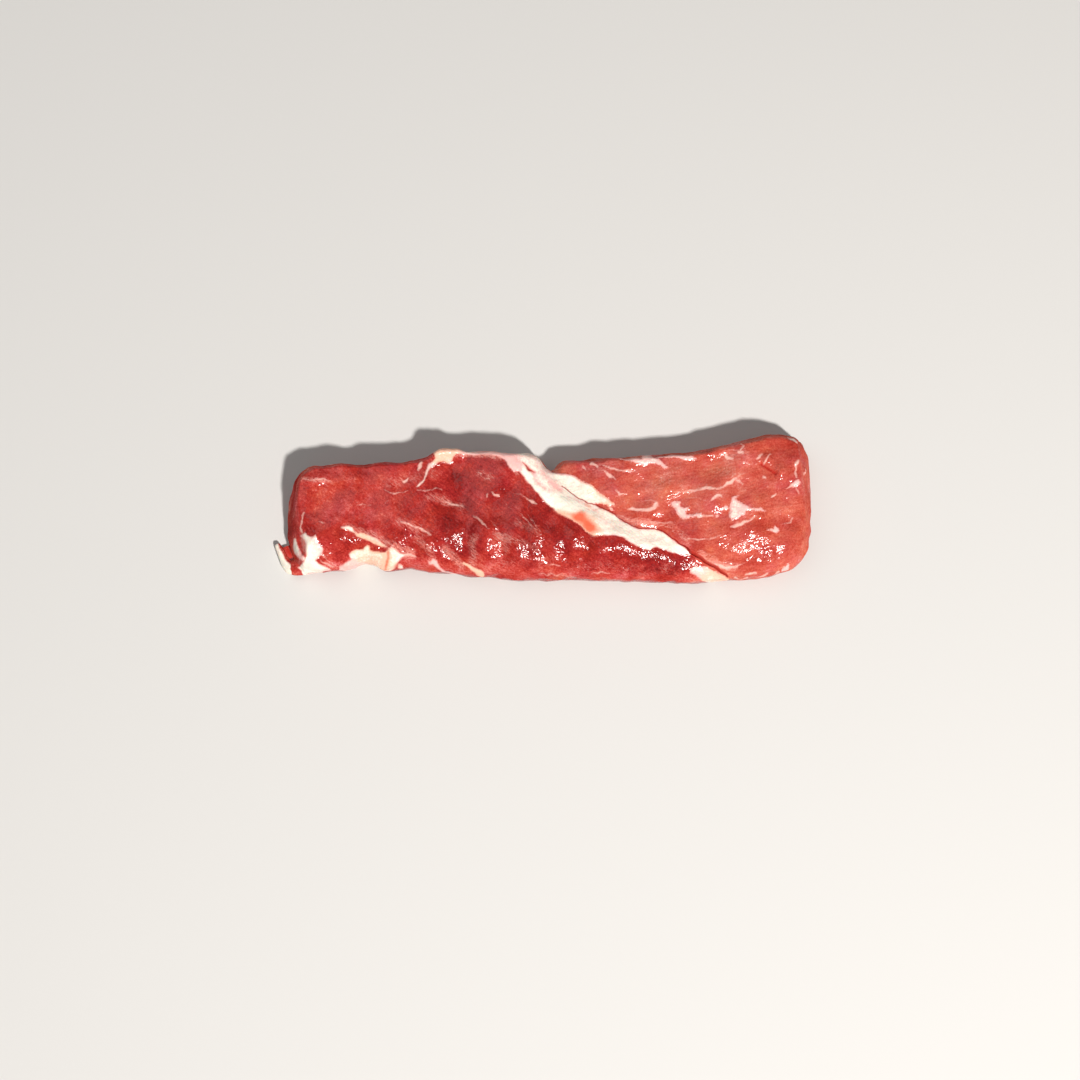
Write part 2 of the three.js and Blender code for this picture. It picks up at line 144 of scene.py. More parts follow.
# Thick fat: closed outlines in plan.
FAT_PATCHES = {
    "band": [
        (-22, 25), (-20.4, 20.6), (-16.8, 17), (-14.4, 12.6), (-12.8, 11.8), (-11, 11.8), (-8.6, 8.4),
        (-4, 3), (0, -1.6), (3.6, -5), (8, -7.6), (16, -11.3), (20.5, -15.8), (22.8, -17.6), (32.5, -17.6),
        (36, -18.5), (41.5, -22), (48.5, -24), (52, -22.6), (59, -25), (67.5, -25.6), (68.4, -24.6),
        (61.5, -20), (55, -15), (51.5, -13.7), (43.5, -13.7), (37.5, -10.7), (32, -6.6), (30.8, -4.9),
        (34.5, -3.9), (30.5, -0.5), (25.5, 3.5), (21.5, 7), (14, 11), (12.5, 12), (7.5, 12.5), (4, 13),
        (2, 16.5), (-1, 22), (-0.4, 27), (-1.6, 32), (-4, 37), (-5.6, 38.6), (-6.6, 35), (-9, 34.6),
        (-10, 30.6), (-12.4, 30), (-14, 28), (-17.2, 28.6), (-20.4, 26.6),
    ],
    "foot": [
        (67.3, -33.6), (67.6, -31.8), (70, -30.3), (74, -30.6), (78.5, -32.6), (84.5, -34.6), (86.5, -35.4),
        (86, -42), (77, -42), (74.5, -37), (70.5, -34.6),
    ],
    "torn lump": [
        (-51.8, 23), (-52.4, 24.6), (-50.6, 25.4), (-49.4, 27), (-48.2, 26.4), (-46.4, 28.4), (-45, 30.8),
        (-44, 27.4), (-42, 26.4), (-39.6, 26.8), (-38.2, 25), (-36.4, 24.2), (-38, 22.5), (-39.5, 20.5),
        (-41.5, 19.2), (-42, 18), (-43.2, 16.2), (-44.6, 16.6), (-46, 17.5), (-48, 17), (-49.5, 16),
        (-51.5, 14.5), (-53.2, 14), (-53.4, 16), (-50.6, 17.2), (-49.6, 18.6),
    ],
    "corner": [
        (-112, -16.4), (-109, -15.9), (-108, -17), (-106, -18), (-104, -17.5), (-103, -20.5),
        (-102.6, -21.8), (-100.6, -23.3), (-101, -25), (-105, -28), (-103.6, -29.2), (-98.5, -31),
        (-99, -31.8), (-102, -32.2), (-103, -37), (-112, -37), (-112.5, -31), (-114.5, -29.6),
        (-112.5, -28.8), (-110.3, -28.6), (-109, -26.5), (-109, -22), (-110, -19),
    ],
    "patch": [
        (-89.5, -25), (-86, -23.4), (-82.6, -23), (-81, -21.4), (-80, -22.2), (-79.6, -23.6), (-74.5, -24.4),
        (-70, -24.6), (-70.6, -27.4), (-72.2, -30.4), (-73.4, -34), (-79, -34), (-90, -36), (-95, -34),
        (-94.5, -30.2), (-91, -28.6), (-88.7, -26.9),
    ],
    "streak": [
        (-86.4, -17), (-83.4, -16.1), (-80, -16.8), (-76.4, -18.8), (-73.4, -21.2), (-71, -23),
        (-74.4, -22.6), (-78, -20.9), (-82, -19), (-85.4, -18),
    ],
    "rolled fold": [
        (-71, -23.6), (-69, -22.9), (-67.3, -23.6), (-66, -25), (-63.4, -25.4), (-65, -26.6), (-65.8, -28),
        (-68.4, -29.8), (-71, -33.5), (-74.8, -33.5), (-73.6, -30), (-71.6, -27.2),
    ],
    "front left": [
        (-53.6, -28), (-52, -28.6), (-51, -27.4), (-49, -28), (-47.6, -30.6), (-45, -32), (-40, -33.4),
        (-39, -36), (-44, -36), (-48, -31.6), (-50.5, -29.6), (-52.6, -29.6),
    ],
    "back star": [
        (34.5, 19.2), (38, 18.9), (42, 19.5), (45, 18.6), (45.8, 21.4), (47.8, 23.4), (49.6, 25.8),
        (50.2, 22.8), (50.4, 20.2), (54, 18), (57.8, 14.2), (56, 13.9), (54, 15.4), (51.5, 16.4),
        (46, 15.4), (42, 16.9), (38.5, 17.9),
    ],
    "blotch": [
        (58.4, -2), (60.5, -1.4), (62.8, -1.6), (62.5, -3.4), (65, -4.4), (67, -4), (66, -5.2), (65, -6.4),
        (65.5, -8), (68, -7.9), (72.6, -7.3), (72, -9), (67, -9.1), (64, -9.6), (62, -8.6), (61, -7),
        (60.4, -4.6), (59, -3.6),
    ],
    "star": [
        (86.4, 0), (88.5, -1), (91.5, -2.8), (94.2, -4.8), (92.6, -6.5), (91.8, -7.8), (90, -9), (86, -10.1),
        (84.4, -8.2), (85.6, -6), (85.3, -3),
    ],
    "end blob": [
        (102, -14.7), (103.2, -14.2), (105, -14.5), (106, -12.9), (107.6, -13.8), (108.2, -15),
        (106.5, -16.1), (104.5, -15.6),
    ],
    "end spot": [
        (116.2, 8.4), (117.5, 9), (118.4, 7.8), (117.6, 6.2), (116, 5.8), (114.4, 6.2), (115.4, 7.6),
    ],
}
# Fat in strokes of (x, y, radius) that stand proud like the patches.
FAT_STROKES = {
    "back rim": [(-39, 22, 1.5), (-32, 21.5, 1.4), (-27, 21.2, 1.3), (-22.5, 21, 1.6), (-17, 21.2, 1.2)],
    "rim strand": [(-24, 21, 0.8), (-20, 19.8, 0.9), (-17, 17.4, 0.9), (-15, 14.4, 0.8), (-13.6, 12.2, 0.6)],
    "torn vein": [(-52.8, 15, 0.8), (-53.5, 12.4, 0.45), (-54.1, 10, 0.4), (-54.6, 8, 0.25)],
    "torn vein end": [(-54.7, 7.8, 0.2), (-56, 6.6, 0.4), (-57.2, 5.6, 0.4), (-58.4, 4.8, 0.1)],
    "streak lead": [
        (-92.6, -14, 0.2), (-89.4, -14.2, 1), (-88.2, -14.7, 1.1), (-86.8, -16, 0.4), (-85, -16.8, 0.5),
    ],
    "crescent": [
        (-115.2, -18, 0.8), (-115, -20.5, 1.5), (-114.2, -22.6, 1.6), (-112.7, -25, 1.5),
        (-110.4, -27.4, 0.9),
    ],
    "fold spot": [(-66.9, -30, 0.7), (-66, -30.1, 0.7)],
    "pale ridge end": [(-36.6, -29, 0.5), (-34, -30.4, 0.8), (-31.5, -32, 1), (-28.5, -34, 1.2)],
    "back star right": [
        (52, 19.4, 0.4), (56.7, 20, 0.6), (60.5, 20.2, 0.9), (64, 19.2, 1.2), (68.5, 18.8, 1),
        (70.6, 18.6, 0.3),
    ],
    "back star left": [(29, 20.6, 0.2), (32.5, 20.2, 0.5), (36, 19.2, 0.6)],
    "star tip": [(87, -0.5, 0.8), (88.6, 0.6, 0.4), (89.6, 1.2, 0.2)],
    "star left": [(82.2, -5, 0.7), (83.6, -4.6, 0.9), (84.6, -5, 0.3)],
    "star right": [(93, -5.2, 0.8), (96.5, -5.5, 0.6), (99.5, -5.4, 0.6), (101.4, -6.2, 0.3)],
    "corner tip": [(113.6, 29.6, 0.4), (116.4, 28.8, 0.9), (117.6, 27, 0.5)],
    "front tip": [(110.5, -31.6, 0.5), (112.6, -30.8, 1), (113, -29.6, 0.6)],
}
# Openings of lean in that fat.
FAT_GAPS = [
    [(-9.4, 16, 0), (-8.2, 14.7, 0.3), (-6.6, 13, 0.6), (-5, 12, 0.3), (-4.2, 11.8, 0)],
    [(24.4, -2.4, 0.5), (26.6, -3.2, 1.2), (28.8, -3.6, 1), (30, -4.8, 0.5), (32, -6.2, 0.4)],
    [(31.2, -3.2, 0.4), (33, -3.9, 0.9), (34.6, -4.8, 0.7)],
    [(-52.6, 22, 0.3), (-51.4, 19.6, 0.4)],
]
# The white outer edge of the tag.
TAG_RIM = [
    (-125.3, -17.6, 0.9), (-124.5, -20.5, 1.2), (-123.5, -21.9, 1.2), (-122.5, -23.7, 1.2),
    (-121.9, -25.8, 1.4), (-120.8, -27.6, 1.7), (-119.4, -29, 1.9),
]
# Fine fat in the lean: strokes of (x, y, radius), fainter the finer they are.
VEINS = [
    # In the red muscle.
    [(-56.4, 16.6, 0.7), (-57, 14.6, 0.9), (-57.5, 13, 0.5)],
    [(-64.2, 7, 0.6), (-63, 7.9, 0.7), (-62, 8.8, 0.3)],
    [(-58, 3.5, 0.1), (-55, 3, 0.2), (-51.5, 3.4, 0.25), (-50, 4.5, 0.3), (-47, 4.1, 0.2)],
    [(-73, 3.5, 0), (-71, 2.4, 0.2), (-68, 1.8, 0.35), (-65, 2.3, 0.15), (-62, 3, 0)],
    [(-72.6, -3, 0), (-71.2, -1.4, 0.15)],
    [(-88, -3.8, 0), (-84, -3, 0.15), (-79, -3.6, 0)],
    [(-65.5, -11.5, 0.2), (-62.5, -12.1, 0.5), (-59.5, -13.4, 0.3), (-56, -14.5, 0.6), (-51.5, -17.4, 0.3)],
    [(-45.2, -1.5, 0.2), (-43, -2.6, 0.5), (-40, -3, 0.4), (-37, -3.7, 0.2)],
    [(-11.2, -7.3, 0.05), (-7.5, -11.1, 0.2), (-3, -16.6, 0)],
    [(-7.5, -7.8, 0), (-4.3, -12, 0.15), (-2.5, -15.3, 0)],
    [(-17.6, -2.6, 0), (-14.4, -6.4, 0.1)],
    [(-32.5, -8, 0), (-29.5, -10, 0.4), (-27.5, -12.5, 0.4), (-24.5, -15.5, 0.1)],
    [(-24, -11, 0), (-22, -13.5, 0.15), (-20, -15.6, 0)],
    [(-25.9, 1.4, 0.4), (-25.9, 0.2, 0.4)],
    [(-23.7, 2.5, 0.3), (-22.2, 0.9, 0.6), (-20.4, 0.7, 0.5)],
    [(-7.6, -1.1, 0.3), (-4.8, -2.5, 0.7), (-3.4, -3.5, 0.2)],
    [(-14, 2, 0), (-9, 0.4, 0.2), (-7.6, -0.8, 0.2)],
    [(-30, 12, 0.2), (-28.6, 11, 0.3)],
    [(-27, 9, 0.2), (-25, 8.6, 0.3)],
    [(-1.6, -29.9, 0), (7.6, -30.8, 0.15)],
    [(22, -34, 0), (26, -33.4, 0.25), (31, -33.6, 0)],
    [(-2, -33.6, 0), (4, -34, 0.15), (14, -34.6, 0)],
    [(-111.5, 8.6, 0.1), (-107, 8.2, 0.25), (-101, 8.7, 0.4), (-97.5, 7.4, 0)],
    [(-102.8, -27.8, 0), (-100, -29.3, 0.4), (-97.1, -30.4, 0.3)],
    [(-102.6, -25.6, 0), (-98.8, -28.2, 0.2), (-95.1, -30.1, 0.1)],
    [(-104.2, -22.9, 0), (-100.4, -26.2, 0.2)],
    [(-66, -26.2, 0.3), (-62, -25.6, 0.5), (-58.6, -26.2, 0.2)],
    [(-104, 17, 0.2), (-100, 16.8, 0.7), (-97, 16.6, 0.2)],
    [(-75, 17.8, 0.2), (-71.5, 18.6, 0.7), (-68, 18.8, 0.3)],
    [(-110, -7, 0.3), (-110.6, -9.4, 0.4), (-111.3, -12, 0.3), (-111.6, -13.4, 0.5), (-111, -15.5, 0.4)],
    [(-103, -11, 0), (-101.4, -11.6, 0.3), (-99.8, -12.2, 0)],
    [(-110, 24.4, 0), (-104, 25.6, 0.5), (-97, 25, 0.7), (-91, 26.4, 0)],
    [(-84, 29.5, 0), (-77, 28.4, 0.4), (-71, 29, 0.6), (-63, 27.6, 0)],
    [(-88, 23.6, 0.1), (-82, 24.6, 0.4), (-79, 24, 0)],
    [(-36, 33.4, 0), (-29, 32, 0.5), (-22, 33, 0)],
    [(-127.6, -6, 0), (-128.4, 0, 0.5), (-127, 5, 0)],
    [(-30, -40.4, 0), (-19, -41.4, 0.5), (-9, -40.6, 0)],
    [(18, -41.6, 0), (30, -40.8, 0.4), (38, -42, 0)],
    # In the pale muscle.
    [(27, 16.1, 0.2), (29.5, 15.1, 0.4), (33.5, 13.6, 0.5), (37, 13, 0.4), (40, 13.2, 0.4),
     (42.4, 12.4, 0.1)],
    [(27, 14, 0.2), (29, 12.5, 0.5), (30.4, 10.9, 0.8), (32, 10, 0.4), (33.6, 8.8, 0.2)],
    [(22.4, 17, 0.9), (24.5, 16, 0.7), (25, 14.6, 0.3)],
    [(18.3, 15.6, 0.4), (19.6, 13.8, 0.3)],
    [(33, 4.2, 0.1), (34.5, 3, 0.5), (35, 2, 0.6), (37, 2.6, 0.4)],
    [(37, -4.6, 0.2), (39, -4.6, 0.3), (41, -4.7, 0.9), (44, -5.4, 0.6), (48, -5.5, 0.8), (50.8, -4.6, 1),
     (51.6, -2.8, 0.9), (52.9, -3.4, 0.3)],
    [(52, -3, 0.6), (51.4, -1.4, 0.2), (49, -0.6, 0.15), (47, -0.8, 0.15), (45.4, -1.6, 0)],
    [(71, -8.6, 0.9), (75, -8.5, 0.3), (77.4, -8.4, 0.4)],
    [(79.4, -8.5, 0.5), (79.9, -8.4, 0.4)],
    [(58, 3.6, 0), (62, 2.7, 0.15), (64.6, 2.6, 0.2), (67.4, 3.2, 0.4), (71, 3.6, 0.6), (74.6, 4.6, 0.9),
     (77.6, 4.2, 0.7), (81, 4.1, 0.4), (83, 5.2, 0.5)],
    [(66.4, 1.6, 0.2), (68, 2.9, 0.4)],
    [(82.8, 5.2, 0.5), (84.4, 6.6, 0.9), (86.8, 7.8, 0.9), (88.4, 9.6, 0.2), (91, 11, 0.2), (93, 11.2, 0)],
    [(88.2, 8.5, 0.4), (90, 8.1, 0.5), (91.8, 6.8, 0.3)],
    [(86, 9.6, 0.1), (88.2, 11, 0.2)],
    [(75.8, -2.6, 0), (77.6, -0.6, 0.5), (79.4, 0.7, 0.9), (81, 0.9, 0.8), (82.5, -0.4, 0.2)],
    [(85.4, -13.6, 0.4), (88.5, -13, 0.8), (91.5, -11.6, 0.8), (94.5, -10.4, 0.5), (97.6, -8.4, 0.2)],
    [(109.4, -11.6, 0), (112, -11.5, 0.3), (113.6, -10.5, 0.3), (114.6, -8.6, 0.3)],
    [(118, 18, 0.4), (116.6, 16.6, 0.7), (116.5, 14.5, 0.5), (116.1, 12.4, 0.4), (116.6, 9.6, 0.4)],
    [(115.4, 6.8, 0.9), (113.6, 5.6, 0.5), (112, 4.8, 0.1)],
    [(116, 5.4, 0.2), (117.6, 2.8, 0.4)],
    [(121.6, 14.4, 0.4), (120.7, 12, 0.5)],
    [(101.4, 16, 0.5), (102.5, 17.6, 0.5), (103.6, 19.6, 0.3), (105, 21, 0.2)],
    [(98.2, 18.4, 0.3), (99.6, 19.4, 0.7), (101, 20.6, 0.4)],
    [(101.4, 10, 0.7), (101.9, 9.6, 0.6)],
    [(84.4, 20.4, 0.7), (85, 19, 0.8), (87, 18.6, 0.7)],
    [(90.2, 21.6, 0.9), (91.8, 21.4, 0.7)],
    [(90.4, 27, 0.2), (92.6, 24.6, 0.4), (91, 22.8, 0.3)],
    [(92, 16.6, 0.5), (92.5, 16.4, 0.5)],
    [(94.4, 16.2, 0.3), (95.2, 15.6, 0.3)],
    [(54, 9.7, 0.5), (54.5, 9.6, 0.5)],
    [(104.6, 0, 0.3), (105.4, 1, 0.7), (107, 2, 0.4)],
    [(48.9, -10.4, 0), (52, -10.9, 0.3), (55.4, -11.2, 0.2), (60.9, -10.9, 0)],
    [(59, -14.5, 0.2), (64, -18, 0), (69, -19.2, 0.4), (76, -19.2, 0.3), (82.4, -17, 0)],
    [(78.4, -29.4, 0.3), (82, -31, 0.7), (85.5, -31.5, 0.6), (89.5, -30.5, 0.3), (92.4, -29.2, 0)],
    [(76, -2, 0), (70, 0, 0.1), (66, 0, 0)],
    [(88.6, -35.2, 0.4), (91, -36.2, 0.5), (94.6, -35.2, 0.3)],
    [(93, -34.2, 0.3), (95, -33.5, 0.7), (98, -33.4, 0.3)],
    [(98, -35.2, 0.3), (101, -34.6, 0.7), (103.6, -33, 0.3)],
    [(107.4, -33.8, 0.5), (109, -32.4, 0.4)],
    [(8, 29.6, 0), (16, 31, 0.5), (25, 30.4, 0.7), (33, 32, 0)],
    [(60, 33.6, 0), (68, 34.6, 0.8), (74, 33.8, 0.5), (82, 35.6, 0)],
    [(94, 41, 0), (101, 40, 0.5), (110, 42, 0)],
    [(131, -12, 0), (131.8, -5, 0.6), (130.6, 2, 0.5), (132, 8, 0)],
    [(88, -41, 0), (97, -40.4, 0.6), (104, -38.6, 0)],
]
# Soft pale haze in the lean: reach, strength, line.
HAZE = [
    (3.6, 1.1, [(-41, 22), (-34, 21.4), (-27, 21), (-20, 19.6)]),
    (4.5, 0.9, [(-69, -22.5), (-65, -24.5), (-61, -25.2)]),
    (3.5, 0.5, [(-58, -19), (-53, -23), (-51, -27)]),
    (3.4, 0.7, [(-45, -23), (-41, -27), (-38, -30)]),
    (3.6, 0.55, [(-31.6, -18.6), (-32.6, -23), (-31.8, -26), (-32.6, -29.5)]),
    (8, 0.2, [(-24, -30), (10, -32), (60, -33)]),
    (2.5, 0.8, [(-110.5, -17), (-109.5, -23)]),
    (4, 0.35, [(-21, -17), (-17, -24)]),
    (3.5, 0.4, [(-20, -18), (-10, -21), (-3, -24)]),
    (3.5, 0.35, [(-30, 11.6), (-25, 9.2)]),
    (4.5, 0.4, [(-53, 0.6), (-46, -0.6)]),
    (3, 0.4, [(-45, -2), (-37, -3.8)]),
    (4, 0.4, [(-66, -11.5), (-53, -16)]),
    (5, 0.3, [(-72, 6), (-60, 8), (-52, 12)]),
    (2.4, 0.5, [(-111, 9), (-98, 7)]),
    (3, 0.5, [(-90, -13.6), (-80, -16), (-72, -20)]),
    (4, 0.4, [(38, -12), (50, -11.6), (60, -13), (67, -20)]),
    (2.4, 0.7, [(33, -8), (40, -9.6), (50, -11.8)]),
    (5, 0.25, [(20, 13), (34, 16)]),
    (6, 0.35, [(86, 21), (92, 22)]),
    (3, 0.8, [(72, -25), (79, -29.5), (88, -31)]),
    (4, 0.35, [(-12, -12), (-3, -16)]),
    (2, 0.6, [(-16, 15), (-12, 11)]),
]
# From here on each row is amount, width, line. Darker lean, and lighter below zero: the flesh's own tone,
# and painted shade in the rows below the fat band and along the waist valley.
TONES_AND_SHADE = [
    (0.6, 6, [(-6, -2), (8, -13), (26, -22), (58, -30)]),
    (0.35, 9, [(-24, -8), (-4, -18), (20, -28)]),
    (0.5, 6, [(-44, 20), (-38, 2), (-38, -12)]),
    (0.5, 5, [(-46, -6), (-38, -16), (-38, -22)]),
    (0.2, 8, [(-20, -30), (20, -32), (60, -33)]),
    (0.8, 5, [(-120.5, 12), (-120.5, -12)]),
    (0.6, 8, [(-60, -14), (-48, -10), (-42, -18)]),
    (0.5, 4, [(-70, 3), (-64, -2)]),
    (0.5, 5, [(-90, -22), (-80, -27)]),
    (0.4, 8, [(-30, 12), (-14, 2), (-6, -8)]),
    (0.3, 8, [(30, -33), (66, -35)]),
    (-0.15, 13, [(-112, 6), (-84, 2), (-62, 8)]),
    (-0.3, 8, [(-30, 16), (-18, 8)]),
    (-0.4, 10, [(-104, -8), (-84, -6)]),
    (0.7, 4, [(44, -8), (58, -12), (72, -22)]),
    (0.5, 6, [(24, 18), (16, 14)]),
    (0.6, 7, [(106, 27), (119, 26)]),
    (0.35, 6, [(88, -30), (108, -30)]),
    (0.35, 16, [(108, -20), (112, 4)]),
    (0.5, 5, [(124, 20), (124, -20)]),
    (0.3, 8, [(70, 22), (84, 25)]),
    (-0.35, 12, [(70, 8), (96, 2), (112, -6)]),
    (-0.25, 10, [(40, 6), (60, 2)]),
]
# Orange-red staining of the fat.
STAINS = [
    (0.55, 2, [(7, -6.8), (12, -8.4), (15, -10)]),
    (1.05, 3, [(17, -9.2), (19.2, -11.8), (20.8, -14.4)]),
    (0.35, 3, [(23.4, -13.6), (25, -16)]),
    (0.85, 0.9, [(-71.2, -24.8), (-71.2, -27.2), (-73.6, -31.6)]),
]
# Fat that is thin enough for the lean to show through.
FLUSH = [
    (1.2, 3, [(-40, 24), (-28, 23), (-18, 21)]),
    (0.6, 2.5, [(-52, 16), (-44, 17.5)]),
    (1.5, 4, [(-50, 22), (-41, 24)]),
    (1, 3, [(-18, 20), (-12.6, 13)]),
    (1.6, 1.5, [(-14, 19.5), (-12, 13.6)]),
    (0.55, 4.5, [(-12, 20), (-4, 18), (0, 12)]),
    (0.8, 1.3, [(3, 7), (5.5, 5.4), (8, 4.6)]),
    (0.6, 1.2, [(-4.5, 11), (-3.5, 7.5), (-0.5, 5), (4, 1.5)]),
    (0.45, 1.2, [(12, 0.4), (24, -5)]),
    (0.3, 6, [(6, 10), (16, 7), (26, 1)]),
    (0.5, 2, [(26, 2.6), (34, -3)]),
    (0.3, 6, [(22, -9), (44, -18), (60, -21)]),
    (0.45, 1.6, [(36, -9), (44, -13)]),
    (0.9, 2.4, [(68, -33.5), (76, -36.5), (86, -38)]),
    (0.7, 2.4, [(74, -31), (84, -35)]),
    (1, 3, [(-97, -32), (-88, -31)]),
    (0.6, 2.4, [(-86, -29.6), (-80, -28.2)]),
    (0.6, 4.5, [(-86, -27), (-76, -27)]),
    (1.5, 1.7, [(-72.4, -24), (-72, -27), (-74.4, -31.5)]),
    (0.5, 3, [(-68, -24), (-70, -31)]),
    (1, 1.5, [(-112.2, -17), (-110.8, -21), (-111, -26)]),
    (0.6, 1.4, [(-117, -18), (-115.6, -24), (-112, -27)]),
    (0.6, 2, [(-109, -35), (-104, -34)]),
    (0.5, 2, [(-106, -18), (-103.4, -22), (-101, -26)]),
    (1.1, 2, [(-84, -17.6), (-78, -20.4), (-73, -22.4)]),
    (1.7, 3, [(-37, -28.6), (-29, -34)]),
    (1, 3.4, [(-54, -27.5), (-42, -34)]),
    (0.8, 5, [(33, 19), (46, 20), (57, 15)]),
    (1, 4, [(58, 20), (70, 18.6)]),
    (0.55, 6, [(58, -2), (66, -8), (72, -8)]),
    (0.7, 7, [(84, -3), (90, -2), (92, -8)]),
    (0.8, 3, [(94, -5), (101, -6)]),
    (0.8, 4, [(102, -15), (108, -14)]),
    (0.6, 3, [(115, 6), (118, 9)]),
    (0.8, 3, [(108, -32), (114, -29)]),
]
# Fat that is peach rather than rose where it is thin.
PEACH = [
    (1, 8, [(-84, -20), (-74, -28)]),
    (1, 5, [(-36, -29), (-28, -34)]),
    (0.8, 7, [(78, -36), (86, -38)]),
    (0.8, 5, [(4, -4), (20, -10)]),
    (0.6, 8, [(20, 6), (32, -2)]),
    (1, 5, [(-48, 20), (-42, 23)]),
]
# Deep red tissue that shows where the meat has opened.
HOLLOWS = [
    (0.3, 0.8, [(-9, 15.6), (-6.6, 12.9), (-4.8, 12)]),
    (1, 0.9, [(100.6, 15.9), (103.6, 13.8), (107, 11.5)]),
    (0.5, 0.8, [(-112.4, -19), (-111, -22), (-110.8, -26)]),
    (0.3, 0.5, [(40.5, 8), (43, 6.6), (50, 6.5)]),
    (0.8, 0.9, [(-118.4, -17), (-118, -21), (-116.4, -23.8), (-113.6, -26.4)]),
]

# ---- The torn tag and its web: x, y, z, half its width, half its height ----

TAG = np.array([
    (-106, -26.5, 5.6, 5.4, 5.4), (-113.5, -28.3, 4.4, 4.3, 4.4), (-118.7, -27.9, 3.3, 3.3, 3.3),
    (-121.5, -24.7, 2.7, 2, 2.7), (-123.4, -20.9, 2.4, 1.6, 2.3), (-125.1, -17.8, 2, 1.1, 1.5),
])
WEB = np.array([
    (-110, -27, 2.2, 3.4, 2.2), (-116.5, -25.5, 1.8, 4.2, 1.8), (-119.5, -22, 1.5, 4, 1.5),
    (-121.2, -18.5, 1.1, 2.6, 1.1),
])
WEB_TOP = 4
TUBE_SIDES, TUBE_STEPS, TUBE_END = 56, 70, 0.45

# ---- Unevenness of the skin: height, length of its waves, seed ----

BROAD_LUMPS, SMALL_LUMPS = (0.22, 17, 34), (0.1, 6.5, 35)
RED_BUNDLES, PALE_BUNDLES = (0.032, 2.6, 31), (0.032, 3.2, 32)
GRAIN, WET_RIDGES, FAT_LUMPS = (0.018, 1.9, 33), (0.12, 5, 37), (0.05, 3.4, 36)
# The same for the borders of the fat, the crack, the veins and the marks on the back side.
FAT_BORDERS = [(0.14, 6, 11), (0.045, 2.2, 13)]
CRACK_WANDER, VEIN_WANDER, BACK_WANDER = (0.15, 4, 21), (0.15, 3, 41), (1.2, 6, 43)
# Degrees from +X of each muscle's fibres and of the pale one's wet ridges, and their stretch.
RED_GRAIN, PALE_GRAIN, RIDGE_RUN = -38, 10, 24
BUNDLE_STRETCH, RIDGE_STRETCH = 5, 2.6

# ---- Fineness of the mesh ----

CAP_SAMPLES = 44
EDGE_STEP = 0.56
TOP_ROWS = 66
TUCK_ROWS = 6
SPINE_INSET = 23


# ---- Curves and distances ----

def smooth(value, low, high):
    t = np.clip((value - low) / (high - low), 0, 1)
    return t * t * (3 - 2 * t)


def bell(distance, width):
    return np.exp(-((distance / width) ** 2))


def blend(a, b, share):
    return a + (b - a) * share


def through(stations, column, x):
    """Smooth values at x through stations sorted by their first column."""
    xs, values = stations[:, 0], stations[:, column]
    order = np.arange(len(xs))
    before, after = np.maximum(order - 1, 0), np.minimum(order + 1, len(xs) - 1)
    slopes = (values[after] - values[before]) / (xs[after] - xs[before])
    at = np.clip(x, xs[0], xs[-1])
    k = np.clip(np.searchsorted(xs, at, side="right") - 1, 0, len(xs) - 2)
    span = xs[k + 1] - xs[k]
    t = (at - xs[k]) / span
    straight = blend(values[k], values[k + 1], t * t * (3 - 2 * t))
    return straight + span * t * (1 - t) * ((1 - t) * slopes[k] - t * slopes[k + 1])


def spline(points, steps):
    """Points along a smooth open curve through rows of numbers, steps to each stretch."""
    points = np.asarray(points, float)
    padded = np.vstack([points[:1], points, points[-1:]])
    t = np.linspace(0, 1, steps, endpoint=False)[:, None]
    rows = [
        0.5 * (2 * b + (c - a) * t + (2 * a - 5 * b + 4 * c - d) * t**2 + (3 * b - a - 3 * c + d) * t**3)
        for a, b, c, d in zip(padded, padded[1:], padded[2:], padded[3:])
    ]
    return np.vstack(rows + [points[-1:]])


def to_line(plan, line):
    """Distance of plan points from a line of (x, y) or (x, y, radius), less the radius, and the side."""
    line = np.asarray(line, float)
    radii = line[:, 2] if line.shape[1] > 2 else np.zeros(len(line))
    nearest = np.full(len(plan), np.inf)
    sides = np.ones(len(plan))
    for start, end, r_start, r_end in zip(line[:-1, :2], line[1:, :2], radii[:-1], radii[1:]):
        along = end - start
        offset = plan - start
        t = np.clip(offset @ along / max(along @ along, 1e-9), 0, 1)
        away = offset - t[:, None] * along
        distance = np.hypot(away[:, 0], away[:, 1]) - blend(r_start, r_end, t)
        closer = distance < nearest
        nearest = np.where(closer, distance, nearest)
        side = np.where(along[0] * offset[:, 1] - along[1] * offset[:, 0] < 0, -1.0, 1.0)
        sides = np.where(closer, side, sides)
    return nearest, sides


def inside(plan, outline):
    """Depth of plan points inside a closed outline, below zero outside it."""
    closed = np.vstack([outline, outline[:1]])
    distance, _ = to_line(plan, closed)
    x, y = plan.T
    odd = np.zeros(len(plan), bool)
    for (ax, ay), (bx, by) in zip(closed[:-1], closed[1:]):
        if ay != by:
            odd ^= ((ay > y) != (by > y)) & (x < ax + (y - ay) * (bx - ax) / (by - ay))
    return np.where(odd, distance, -distance)


def waves(points, length, seed, count=14):
    """Uneven smooth noise of about unit height: plane waves of about one length in seeded directions."""
    random = np.random.default_rng(seed)
    directions = random.normal(size=(count, points.shape[1]))
    directions /= np.linalg.norm(directions, axis=1, keepdims=True)
    lengths = length * random.uniform(0.7, 1.5, (count, 1))
    phases = random.uniform(0, 2 * math.pi, count)
    return np.sin(points @ (2 * math.pi * directions / lengths).T + phases).sum(1) / math.sqrt(count / 2)


def relief(points, kind):
    height, length, seed = kind
    return height * waves(points, length, seed)


def wander(points, kind):
    """Uneven shifts in x and y."""
    reach, length, seed = kind
    return reach * np.column_stack([waves(points, length, seed), waves(points, length, seed + 1)])


# ---- The plan ----

